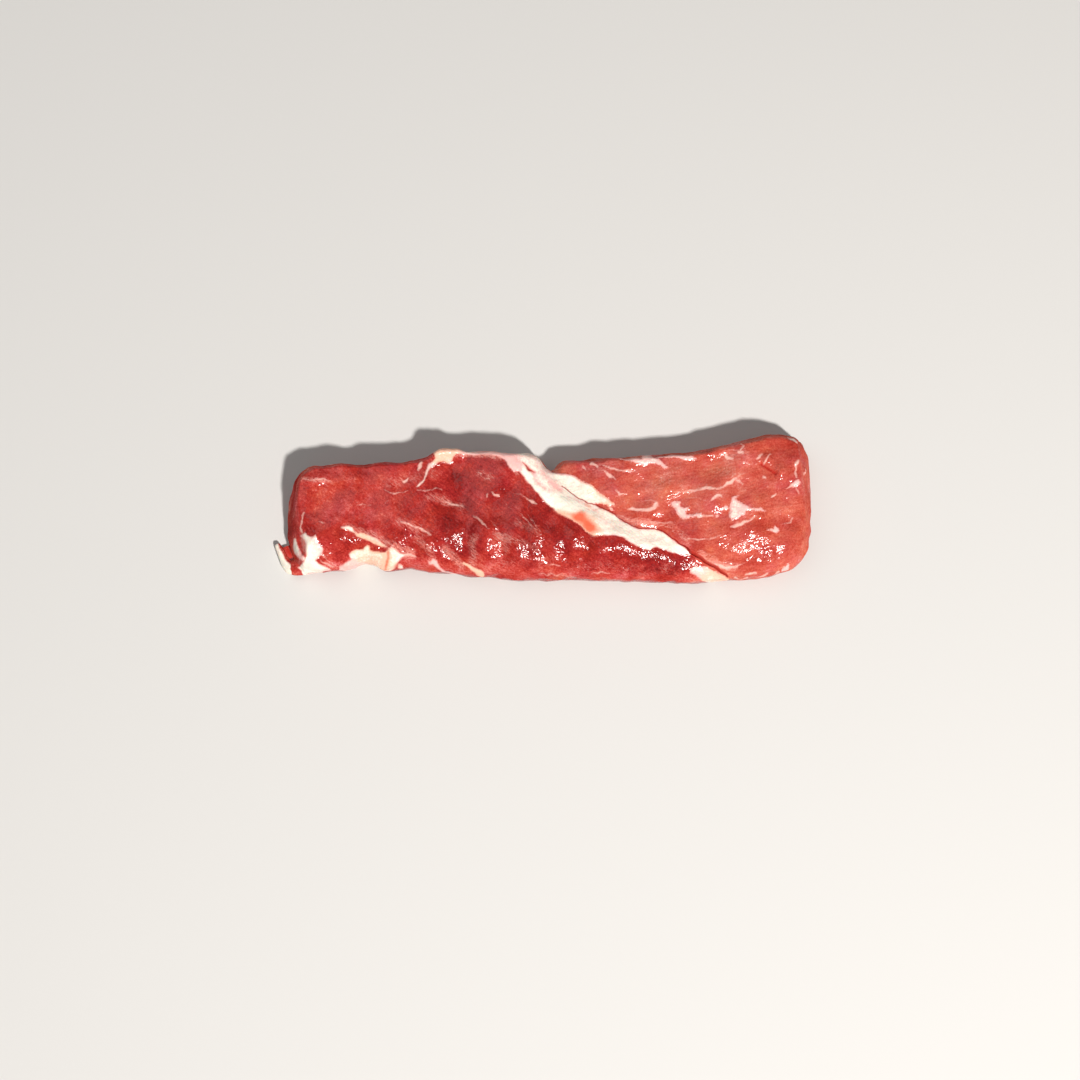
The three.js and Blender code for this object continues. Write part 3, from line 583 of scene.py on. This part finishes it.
def edge_y(x, corner):
    outwards = 1 if corner == BACK else -1
    whole = through(LONG_EDGES, corner, x)
    whole += outwards * sum(out * bell(x - at, width) for at, out, width in EDGE_MARKS[corner])
    for past, cap in ((LEFT_CORNER - x, LEFT_CAP), (x - RIGHT_CORNER, RIGHT_CAP)):
        into = past / cap["length"]
        share = (1 - np.clip(into, 0, 1) ** cap[corner]) ** (1 / cap[corner])
        whole = np.where(into > 0, blend(cap["middle"], whole, share), whole)
    return whole


def middle_y(x):
    return (edge_y(x, BACK) + edge_y(x, FRONT)) / 2


def places_along(corner):
    """Places along X from end to end, closer together where a corner turns."""
    turn = np.arange(CAP_SAMPLES) / CAP_SAMPLES * math.pi / 2
    left = LEFT_END + LEFT_CAP["length"] * (1 - np.cos(turn) ** (2 / LEFT_CAP[corner]))
    right = RIGHT_END - RIGHT_CAP["length"] * (1 - np.cos(turn) ** (2 / RIGHT_CAP[corner]))
    steps = round((RIGHT_CORNER - LEFT_CORNER) / EDGE_STEP)
    straight = np.linspace(LEFT_CORNER, RIGHT_CORNER, steps + 1)
    return np.concatenate([left, straight, right[::-1]])


FRONT_XS = places_along(FRONT)
BACK_XS = places_along(BACK)[::-1][1:-1]
OUTLINE = np.column_stack([
    np.concatenate([FRONT_XS, BACK_XS]),
    np.concatenate([edge_y(FRONT_XS, FRONT), edge_y(BACK_XS, BACK)]),
])
COARSE_OUTLINE = np.vstack([OUTLINE[::3], OUTLINE[:1]])
SEAM_LINE = spline(SEAM, steps=8)


# ---- The top ----

def roll_at(plan):
    """Reach, power and rim height of the roll towards the nearest edge."""
    x, y = plan.T
    back, front = edge_y(x, BACK), edge_y(x, FRONT)
    across = (y - (back + front) / 2) / np.maximum(back - front, 1)
    to_back = smooth(across, -SIDE_BLEND, SIDE_BLEND)[:, None]
    to_left = 1 - smooth(x, LEFT_END + END_INSET, LEFT_END + END_INSET + END_BLEND)[:, None]
    to_right = smooth(x, RIGHT_END - END_INSET - END_BLEND, RIGHT_END - END_INSET)[:, None]
    long = blend(ROLL_FRONT, ROLL_BACK, to_back)
    return blend(blend(long, ROLL_LEFT, to_left), ROLL_RIGHT, to_right).T


def fat_depth(plan):
    """Depth inside the thick fat, below zero outside it, with an uneven border."""
    warped = plan + sum(wander(plan, border) for border in FAT_BORDERS)
    patches = [inside(warped, np.asarray(outline, float)) for outline in FAT_PATCHES.values()]
    strokes = [-to_line(warped, stroke)[0] for stroke in FAT_STROKES.values()]
    gaps = [to_line(warped, gap)[0] for gap in FAT_GAPS]
    return np.minimum(np.max(patches + strokes, axis=0), np.min(gaps, axis=0))


def crown_height(plan):
    x, y = plan.T
    distance, side = to_line(plan, SEAM_LINE)
    pale = smooth(distance * side, -CROWN_BLEND, CROWN_BLEND)
    height = blend(through(RED_CROWN, 1, x), through(PALE_CROWN, 1, x), pale)
    height -= SEAM_DEPTH * bell(distance, SEAM_WIDTH)
    for fold_height, width, line in FOLDS.values():
        height += fold_height * bell(to_line(plan, line)[0], width)
    for swell, along_x, along_y, shift in SWELLS:
        height += swell * np.sin(2 * math.pi * (x / along_x + y / along_y) + shift)
    return height + FAT_RISE * smooth(fat_depth(plan), *FAT_SLOPE)


def top_height(plan):
    reach, power, rim = roll_at(plan)
    inward = np.clip(to_line(plan, COARSE_OUTLINE)[0] / reach, 0, 1)
    height, width, line = EDGE_LUMP
    lump = height * bell(to_line(plan, line)[0], width)
    return rim + (crown_height(plan) - rim) * (1 - (1 - inward) ** power) ** (1 / power) + lump


# ---- Meshes ----

def mesh_object(name, rings):
    """An object skinned over rings of points, of which the first and the last close up."""
    rings = np.asarray(rings)
    count, n, _ = rings.shape
    a = np.arange((count - 1) * n).reshape(count - 1, n)
    b = np.roll(a, -1, axis=1)
    faces = np.stack([a, b, b + n, a + n], -1).reshape(-1, 4)
    mesh = bpy.data.meshes.new(name)
    mesh.from_pydata(rings.reshape(-1, 3).tolist(), [], faces.tolist())
    piece = bpy.data.objects.new(name, mesh)
    bpy.context.scene.collection.objects.link(piece)
    weld = piece.modifiers.new("weld", "WELD")
    weld.merge_threshold = 1e-4
    apply_modifiers(piece)
    return piece


def apply_modifiers(piece):
    evaluated = piece.evaluated_get(bpy.context.evaluated_depsgraph_get())
    mesh = bpy.data.meshes.new_from_object(evaluated)
    old = piece.data
    piece.modifiers.clear()
    piece.data = mesh
    mesh.name = piece.name
    bpy.data.meshes.remove(old)


def combine(piece, other, operation):
    cut = piece.modifiers.new(operation.lower(), "BOOLEAN")
    cut.operation = operation
    cut.solver = "MANIFOLD"
    cut.object = other
    apply_modifiers(piece)
    bpy.data.objects.remove(other)


def directions(path):
    ahead = np.gradient(path[:, :2], axis=0)
    return ahead / np.linalg.norm(ahead, axis=1, keepdims=True)


def strip_rings():
    ends = np.clip(OUTLINE[:, 0], LEFT_END + SPINE_INSET, RIGHT_END - SPINE_INSET)
    spine = np.column_stack([ends, middle_y(ends)])
    length = np.linalg.norm(spine - OUTLINE, axis=1)
    reach, _, rim = roll_at(OUTLINE)

    def ring(inward, heights=None):
        plan = blend(OUTLINE, spine, (inward / length)[:, None])
        return np.column_stack([plan, top_height(plan) if heights is None else heights])

    rings = [ring(length, np.zeros(len(OUTLINE)))]
    for k in range(TUCK_ROWS + 1):
        turn = (1 - k / TUCK_ROWS) * math.pi / 2
        rings.append(ring(TUCK * (1 - math.cos(turn)) * np.ones(len(OUTLINE)), rim * (1 - math.sin(turn))))
    roll = np.minimum(reach, ROLL_SHARE * length)
    turn = (roll + RED_CROWN[0, 1] - rim) * math.pi / 4
    for k in range(TOP_ROWS):
        along = (k + 1) / TOP_ROWS * (turn + length - roll)
        on_roll = roll * (1 - np.cos(np.minimum(along / turn, 1) * math.pi / 2))
        rings.append(ring(on_roll + np.maximum(along - turn, 0)))
    return rings


def tube_rings(stations):
    """A tube of flattened sections through stations, round at its ends, resting on the table."""
    path = spline(stations, TUBE_STEPS // (len(stations) - 1))
    ahead = directions(path)
    turn = np.arange(TUBE_SIDES) / TUBE_SIDES * 2 * math.pi

    def ring(k, share):
        x, y, z, wide, high = path[k]
        out = np.cos(turn) * wide * share
        heights = np.maximum(z + np.sin(turn) * high * share, 0)
        return np.column_stack([x - ahead[k, 1] * out, y + ahead[k, 0] * out, heights])

    last = len(path) - 1
    body = [ring(k, 1) for k in range(1, last)]
    return [ring(0, 0), ring(0, TUBE_END), *body, ring(last, TUBE_END), ring(last, 0)]


def crack_path():
    path = spline(CRACK, steps=5)
    path[:, :2] += wander(path[:, :2], CRACK_WANDER)
    return path


def wedge_rings():
    """The crack's cutting wedge, from just above the surface to the crack's depth."""
    path = crack_path()
    ahead = directions(path)
    surface = top_height(path[:, :2])

    def ring(k, share):
        x, y, half, depth = path[k]
        flare = share * half * (depth + CRACK_CLEAR) / depth
        top = surface[k] + CRACK_CLEAR
        return [
            (x + ahead[k, 1] * flare, y - ahead[k, 0] * flare, top),
            (x, y, top - share * (depth + CRACK_CLEAR)),
            (x - ahead[k, 1] * flare, y + ahead[k, 0] * flare, top),
        ]

    last = len(path) - 1
    return [ring(0, 0), *(ring(k, 1) for k in range(last + 1)), ring(last, 0)]


def points_and_normals(mesh):
    points, normals = (np.empty(len(mesh.vertices) * 3, np.float32) for _ in range(2))
    mesh.vertices.foreach_get("co", points)
    mesh.vertex_normals.foreach_get("vector", normals)
    return points.reshape(-1, 3).astype(float), normals.reshape(-1, 3).astype(float)


def turned(points, degrees, stretch):
    """Points turned to the run of the muscle's fibres, with their length along it divided by stretch."""
    c, s = math.cos(math.radians(degrees)), math.sin(math.radians(degrees))
    x, y, z = points.T
    return np.column_stack([(c * x + s * y) / stretch, c * y - s * x, z])


BESIDE_CRACK = (0.8, 2.5)
OVER_TAG = 6  # height of the tag's top
ABOVE_TABLE = (0.3, 3.5)


def roughen(mesh):
    """Moves the skin in and out for lumps, bundles of fibres and fine grain; the flat underside stays.
    Beside the crack the move is straight up, so its walls keep their distance."""
    points, normals = points_and_normals(mesh)
    plan = points[:, :2]
    beside = 1 - smooth(to_line(plan, crack_path()[:, :2])[0], *BESIDE_CRACK)[:, None]
    normals = blend(normals, np.array([0, 0, 1.0]), beside * (points[:, 2:] > OVER_TAG))
    distance, side = to_line(plan, SEAM_LINE)
    pale = smooth(distance * side, -2, 2)
    lean = 1 - smooth(fat_depth(plan), -0.3, 0.8)
    red_bundles = relief(turned(points, RED_GRAIN, BUNDLE_STRETCH), RED_BUNDLES)
    pale_bundles = relief(turned(points, PALE_GRAIN, BUNDLE_STRETCH), PALE_BUNDLES)
    height = relief(points, BROAD_LUMPS) + relief(points, SMALL_LUMPS)
    height += pale * lean * relief(turned(points, RIDGE_RUN, RIDGE_STRETCH), WET_RIDGES)
    height += lean * (blend(red_bundles, pale_bundles, pale) + relief(points, GRAIN))
    height += (1 - lean) * relief(points, FAT_LUMPS)
    points += normals * (height * smooth(points[:, 2], *ABOVE_TABLE))[:, None]
    points[:, 2] = np.maximum(points[:, 2], 0)
    mesh.vertices.foreach_set("co", points.astype(np.float32).ravel())
    mesh.update()


# ---- Where fat, lean and stain lie, as attributes of the mesh ----

FRONT_SIDE = 2  # how far above the widest point the front side starts
BACK_SIDE = 17  # how far above the table the back side starts
MIDDLE_BLEND = 4
STEEP = (0.1, 0.45)


def unrolled(points, normals):
    """The plan of each point, with the sides laid out flat so that marks don't smear down them.
    Marks that hang over the steep back side are ragged."""
    plan = points[:, :2]
    rim = roll_at(plan)[2]
    at_back = smooth(plan[:, 1] - middle_y(plan[:, 0]), -MIDDLE_BLEND, MIDDLE_BLEND)
    drop = np.clip(blend(rim + FRONT_SIDE, BACK_SIDE, at_back) - points[:, 2], 0, None)
    steep = at_back * (1 - smooth(normals[:, 2], *STEEP))
    return plan + normals[:, :2] * drop[:, None] + wander(points, BACK_WANDER) * steep[:, None]


def add_value(mesh, name, values):
    mesh.attributes.new(name, "FLOAT", "POINT").data.foreach_set("value", values.astype(np.float32))


def sum_of(plan, marks):
    return sum(amount * bell(to_line(plan, line)[0], width) for amount, width, line in marks)


def crack_walls(mesh):
    """1 on the walls and the lips of the crack, before the skin is roughened."""
    points, _ = points_and_normals(mesh)
    away = to_line(points[:, :2], crack_path()[:, :3])[0]
    below = top_height(points[:, :2]) - points[:, 2]
    return np.maximum(smooth(below, 0.06, 0.4) * (away < 1.5), 0.8 * (1 - smooth(away, 0.05, 0.5)))


def mark_meat(mesh, opened):
    points, normals = points_and_normals(mesh)
    plan = unrolled(points, normals)
    distance, side = to_line(plan, SEAM_LINE)
    add_value(mesh, "side", np.clip(distance * side, -20, 20))
    away, rim_side = to_line(points[:, :2], TAG_RIM)
    in_tag = smooth(-points[:, 0], 116, 118) * smooth(-points[:, 2], -9, -7)
    fat = blend(fat_depth(plan), np.where(rim_side < 0, 1, -away), in_tag)
    add_value(mesh, "fat", np.clip(fat, -4, 4))
    moved = plan + wander(plan, VEIN_WANDER)
    veins = [-to_line(moved, vein)[0] for vein in VEINS]
    add_value(mesh, "vein", np.clip(np.max(veins, axis=0), -4, 4))
    add_value(mesh, "haze", sum(s * smooth(w - to_line(plan, line)[0], 0, w) for w, s, line in HAZE))
    for name, marks in {"tone_and_shade": TONES_AND_SHADE, "stain": STAINS, "flush": FLUSH, "peach": PEACH}.items():
        add_value(mesh, name, sum_of(plan, marks))
    from_web = to_line(points[:, :2], WEB[1:, :2])[0]
    in_web = (1 - smooth(from_web, 1.5, 3.2)) * (points[:, 2] < WEB_TOP) * smooth(away, 0, 1)
    add_value(mesh, "hollow", np.clip(opened + in_web + sum_of(plan, HOLLOWS), 0, 1))
    upwards = normals[:, 2]
    # The steep band of the sides: its colour gets painted light, and its shine is taken away.
    add_value(mesh, "shoulder", smooth(upwards, 0.05, 0.25) * (1 - smooth(upwards, 0.5, 0.82)))


# ---- Materials ----

class Value:
    """A number that changes over a surface: sums written on it become Math nodes."""

    def __init__(self, paint, socket):
        self.paint, self.socket = paint, socket

    def math(self, operation, *values):
        return self.paint.node("ShaderNodeMath", {"operation": operation}, *values)

    def __add__(self, other):
        return self.math("ADD", self, other)

    __radd__ = __add__

    def __sub__(self, other):
        return self.math("SUBTRACT", self, other)

    def __rsub__(self, other):
        return self.math("SUBTRACT", other, self)

    def __mul__(self, other):
        return self.math("MULTIPLY", self, other)

    __rmul__ = __mul__

    def __abs__(self):
        return self.math("ABSOLUTE", self)

    def step(self, low, high):
        """0 below low, 1 above high and smooth between them."""
        settings = {"interpolation_type": "SMOOTHSTEP"}
        return self.paint.node("ShaderNodeMapRange", settings, self, low, high, 0, 1)


MIXED_COLOUR = 2  # the output of a Mix node that holds a colour


class Paint:
    """A material's node tree, built by expressions."""

    def __init__(self, name):
        self.material = bpy.data.materials.new(name)
        self.material.use_nodes = True
        self.tree = self.material.node_tree
        self.tree.nodes.clear()
        self.output = self.tree.nodes.new("ShaderNodeOutputMaterial")

    def node(self, kind, settings, *values, out=0, **named):
        """Any node: its settings first, then its sockets by order and by name. Returns one output."""
        made = self.tree.nodes.new(kind)
        stops = settings.pop("stops", None)
        for key, value in settings.items():
            setattr(made, key, value)
        if stops:
            ramp = made.color_ramp.elements
            while len(ramp) < len(stops):
                ramp.new(1)
            for element, (position, colour) in zip(ramp, stops):
                element.position, element.color = position, (*colour, 1)
        by_name = {key.replace("_", " "): value for key, value in named.items()}
        for place, value in {**dict(enumerate(values)), **by_name}.items():
            self.fill(made.inputs[place], value)
        return Value(self, made.outputs[out])

    def fill(self, socket, value):
        if isinstance(value, Value):
            self.tree.links.new(value.socket, socket)
        elif value is not None:
            socket.default_value = (*value, 1) if socket.type == "RGBA" else value

    def mix(self, share, a, b, blend_type="MIX"):
        settings = {"data_type": "RGBA", "clamp_factor": True, "blend_type": blend_type}
        not_colours = [None] * 5
        return self.node("ShaderNodeMix", settings, share, *not_colours, a, b, out=MIXED_COLOUR)

    def tint(self, share, colour, by):
        return self.mix(share, colour, by, "MULTIPLY")

    def mark(self, name):
        return self.node("ShaderNodeAttribute", {"attribute_name": name}, out="Fac")

    def noise(self, place, length, detail=2, rough=0.55):
        """Noise of about -0.5 to 0.5 whose lumps are about length millimetres across."""
        sockets = {"Vector": place, "Scale": 1 / length, "Detail": detail, "Roughness": rough}
        return self.node("ShaderNodeTexNoise", {}, **sockets) - 0.5

    def run_along(self, place, degrees, stretch):
        """Places turned to the run of the fibres, and drawn out along it."""
        about_z, angle = {"rotation_type": "Z_AXIS"}, -math.radians(degrees)
        along = self.node("ShaderNodeVectorRotate", about_z, place, Angle=angle)
        return self.node("ShaderNodeVectorMath", {"operation": "MULTIPLY"}, along, (1 / stretch, 1, 1))

    def shader(self, **sockets):
        return self.node("ShaderNodeBsdfPrincipled", {}, **sockets)

    def finish(self, shader):
        self.tree.links.new(shader.socket, self.output.inputs["Surface"])
        return self.material


RED_LEAN = [
    (0.0, (0.14, 0.007, 0.007)), (0.3, (0.28, 0.013, 0.011)), (0.5, (0.4, 0.026, 0.02)),
    (0.7, (0.52, 0.056, 0.043)), (1.0, (0.7, 0.18, 0.15)),
]
PALE_LEAN = [
    (0.0, (0.33, 0.02, 0.012)), (0.3, (0.45, 0.052, 0.034)), (0.5, (0.54, 0.09, 0.06)),
    (0.7, (0.61, 0.135, 0.093)), (1.0, (0.74, 0.3, 0.24)),
]
FAT_WHITE = (0.97, 0.89, 0.76)
FAT_PEACH = (0.94, 0.54, 0.39)
FAT_ROSE = (0.9, 0.5, 0.46)
FAT_STAINED = (0.9, 0.15, 0.075)
VEIN_PINK = (0.92, 0.56, 0.48)
HAZE_PINK = (0.78, 0.28, 0.22)
HOLLOW_RED = (0.5, 0.03, 0.02)
WARM = (1.05, 1.25, 0.8)
COLD = (0.95, 0.85, 1.3)
TABLE_GREY = (0.64, 0.63, 0.61)
BUMP_HEIGHT = 0.4 * MM
WET_ROUGHNESS, DRY_ROUGHNESS, TABLE_ROUGHNESS = 0.15, 0.6, 0.8
JUICY = {
    "IOR": 1.4, "Subsurface_Weight": 0.2, "Subsurface_Radius": (1.0, 0.35, 0.25), "Subsurface_Scale": 2 * MM,
}


def meat():
    paint = Paint("raw_pork")
    metres = paint.node("ShaderNodeTexCoord", {}, out="Object")
    place = paint.node("ShaderNodeVectorMath", {"operation": "SCALE"}, metres, Scale=1 / MM)
    fat, vein, side, tone_and_shade = (paint.mark(name) for name in ("fat", "vein", "side", "tone_and_shade"))
    haze, stain, flush, hollow = (paint.mark(name) for name in ("haze", "stain", "flush", "hollow"))
    peach, shoulder = paint.mark("peach"), paint.mark("shoulder")

    fine = paint.noise(place, 1.0, 3)
    speck = paint.noise(place, 0.45, 2)
    mottle = paint.noise(place, 3.6, 3)
    cloud = paint.noise(place, 8, 4, 0.6)
    hue = paint.noise(place, 12, 3)
    wide = paint.noise(place, 26, 2)
    pale = (side + fine * 1.2).step(-0.8, 0.8)

    def by_muscle(red_fibres, pale_fibres, detail, rough):
        """Noise along each muscle's fibres: their run, their stretch, and the length of its lumps."""
        red_noise, pale_noise = (
            paint.noise(paint.run_along(place, run, stretch), length, detail, rough)
            for run, stretch, length in (red_fibres, pale_fibres)
        )
        return red_noise + (pale_noise - red_noise) * pale

    lumps = by_muscle((RED_GRAIN, 1.5, 1), (RIDGE_RUN, 1.8, 1), 1, 0.45)
    streaks = by_muscle((RED_GRAIN, 6, 1.1), (PALE_GRAIN, 6, 1.3), 3, 0.6)

    # The lean: darker and lighter, warmer and colder. Its fine speck is partly painted glints, as tiny
    # lighter dots.
    # The tone marks darken the lean, with painted shade below the fat band and along the waist valley.
    shade = 0.5 + cloud * 0.9 + wide * 0.5 + streaks * 0.42 + fine * 0.5 + speck * 0.65 - tone_and_shade * 0.24
    # Painted light: the steep band along the sides is made lighter to offset the shade that falls on it.
    shade = shade + shoulder * 0.22
    red = paint.node("ShaderNodeValToRGB", {"stops": RED_LEAN}, shade)
    coral = paint.node("ShaderNodeValToRGB", {"stops": PALE_LEAN}, shade)
    lean = paint.mix(pale, red, coral)
    lean = paint.tint(hue.step(-0.02, 0.25) * (0.7 - pale * 0.3), lean, WARM)
    lean = paint.tint((0 - hue).step(-0.02, 0.25) * 0.7, lean, COLD)
    # Haze, and threads of fat too fine to be placed one by one, along the fibres.
    threads = (1 - abs(streaks + speck * 0.1).step(0.0, 0.05)) * (haze + cloud).step(0.05, 0.5) * 0.34
    hazy = (haze * (0.75 + fine * 1.4 + streaks)).step(0.1, 1.0) * 0.75
    lean = paint.mix(hazy, lean, HAZE_PINK)
    lean = paint.mix(threads, lean, VEIN_PINK)

    # Veins and fat with ragged borders, pink or peach where the fat is thin.
    ragged = fine * 0.4 + speck * 0.3
    in_vein = (vein + ragged * 0.9).step(-0.35, 0.6)
    lean = paint.mix(in_vein * 0.85, lean, VEIN_PINK)
    in_fat = (fat + ragged * (1 + pale * 1.8)).step(-0.4, 0.6)
    thin = (1 - (fat + ragged * 1.5).step(0, 1.4)) * (0.45 + pale * 0.45)
    thin = thin + 0.1 + flush * (0.9 + fine * 1.5)
    thin = (thin + cloud * 0.8 + mottle * 1.1 + fine * 0.4).step(0.05, 1.1)
    tallow = paint.mix(thin, FAT_WHITE, paint.mix((peach + mottle).step(0.2, 0.8), FAT_ROSE, FAT_PEACH))
    colour = paint.mix(in_fat, lean, tallow)
    # Stains and torn hollows.
    stained = (stain + mottle * 0.5 + fine * 0.3) * (fat + fine).step(-1.6, 0.2)
    colour = paint.mix(stained.step(0.0, 0.6) * 0.9, colour, FAT_PEACH)
    colour = paint.mix(stained.step(0.25, 1.1), colour, FAT_STAINED)
    colour = paint.mix((hollow + fine * 0.4).step(0.1, 1.0) * 0.9, colour, HOLLOW_RED)

    bumps = lumps * 0.7 + fine * 0.08 + streaks * (1 - in_fat) * 0.12 + in_vein * 0.15
    bump = paint.node("ShaderNodeBump", {}, Strength=1, Distance=BUMP_HEIGHT, Height=bumps)
    flesh = {"Base_Color": colour, "Normal": bump, **JUICY}
    wet = paint.shader(Roughness=WET_ROUGHNESS + cloud * 0.12 + fine * 0.06 + in_fat * 0.08, **flesh)
    dry = paint.shader(Roughness=DRY_ROUGHNESS, Specular_IOR_Level=0, **flesh)
    return paint.finish(paint.node("ShaderNodeMixShader", {}, shoulder * 0.95, wet, dry))


def table():
    paint = Paint("pale_table")
    return paint.finish(paint.shader(Base_Color=TABLE_GREY, Roughness=TABLE_ROUGHNESS))


# ---- Pieces ----

def make_meat():
    piece = mesh_object("raw_pork_strip", strip_rings())
    combine(piece, mesh_object("crack_wedge", wedge_rings()), "DIFFERENCE")
    combine(piece, mesh_object("tag", tube_rings(TAG)), "UNION")
    combine(piece, mesh_object("tag_web", tube_rings(WEB)), "UNION")
    mesh = piece.data
    opened = crack_walls(mesh)
    roughen(mesh)
    mark_meat(mesh, opened)
    mesh.transform(placing())
    mesh.shade_smooth()
    mesh.set_sharp_from_angle(angle=math.radians(55))
    mesh.materials.clear()
    mesh.materials.append(meat())
    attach(piece, "root")
    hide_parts("pork_pluma")


def placing():
    """From the strip's own plan in millimetres to the part's frame in metres."""
    return Matrix.Scale(MM, 4) @ Matrix.Translation(Vector(-BOX_MIDDLE))


FLOOR_HALF, FLOOR_DROP = 4, 0.0002  # metres


def make_floor():
    mesh = bpy.data.meshes.new("floor")
    corners = [(x * FLOOR_HALF, y * FLOOR_HALF, 0) for x, y in [(-1, -1), (1, -1), (1, 1), (-1, 1)]]
    mesh.from_pydata(corners, [], [(0, 1, 2, 3)])
    floor = bpy.data.objects.new("floor", mesh)
    floor.location.z = -FLOOR_DROP
    bpy.context.scene.collection.objects.link(floor)
    mesh.materials.append(table())


# ---- Camera and light ----

# In metres from here on.
VIEW_TILT = math.radians(11.1)  # from straight down, towards the front
VIEW_DISTANCE = 0.76
VIEW_TARGET = Vector((-1.6, -15, 0)) * MM - Vector(BOX_MIDDLE) * MM
SENSOR, LENS = 36, 53.7  # millimetres
# Lamps: place, width, power, colour.
LAMPS = {
    "key": ((0.7, -1.12, 1.76), 0.15, 61.5, (1, 0.97, 0.94)),
    "fill": ((-0.6, 0.3, 1.1), 1.2, 3.4, (1, 1, 1)),
}
LAMP_TARGET = Vector((0, 0, 0.01))
ROOM_COLOUR, ROOM_STRENGTH = (1, 0.99, 0.98, 1), 0.14


def aimed(name, data, place, target):
    """A camera or a lamp at a place, turned to a target."""
    holder = bpy.data.objects.new(name, data)
    bpy.context.scene.collection.objects.link(holder)
    holder.location = place
    holder.rotation_euler = (target - holder.location).to_track_quat("-Z", "Y").to_euler()
    return holder


def make_camera():
    data = bpy.data.cameras.new("camera")
    data.sensor_width, data.lens = SENSOR, LENS
    backwards = Vector((0, -math.sin(VIEW_TILT), math.cos(VIEW_TILT)))
    camera = aimed("camera", data, VIEW_TARGET + VIEW_DISTANCE * backwards, VIEW_TARGET)
    bpy.context.scene.camera = camera


def make_lights():
    for name, (place, size, power, colour) in LAMPS.items():
        data = bpy.data.lights.new(name, "AREA")
        data.shape = "DISK"
        data.size, data.energy, data.color = size, power, colour
        aimed(name, data, place, LAMP_TARGET)
    world = bpy.data.worlds.new("room")
    bpy.context.scene.world = world
    world.use_nodes = True
    background = world.node_tree.nodes["Background"]
    background.inputs["Color"].default_value = ROOM_COLOUR
    background.inputs["Strength"].default_value = ROOM_STRENGTH


make_camera()
make_lights()
make_floor()
make_meat()
bpy.context.scene.view_settings.view_transform = "Standard"
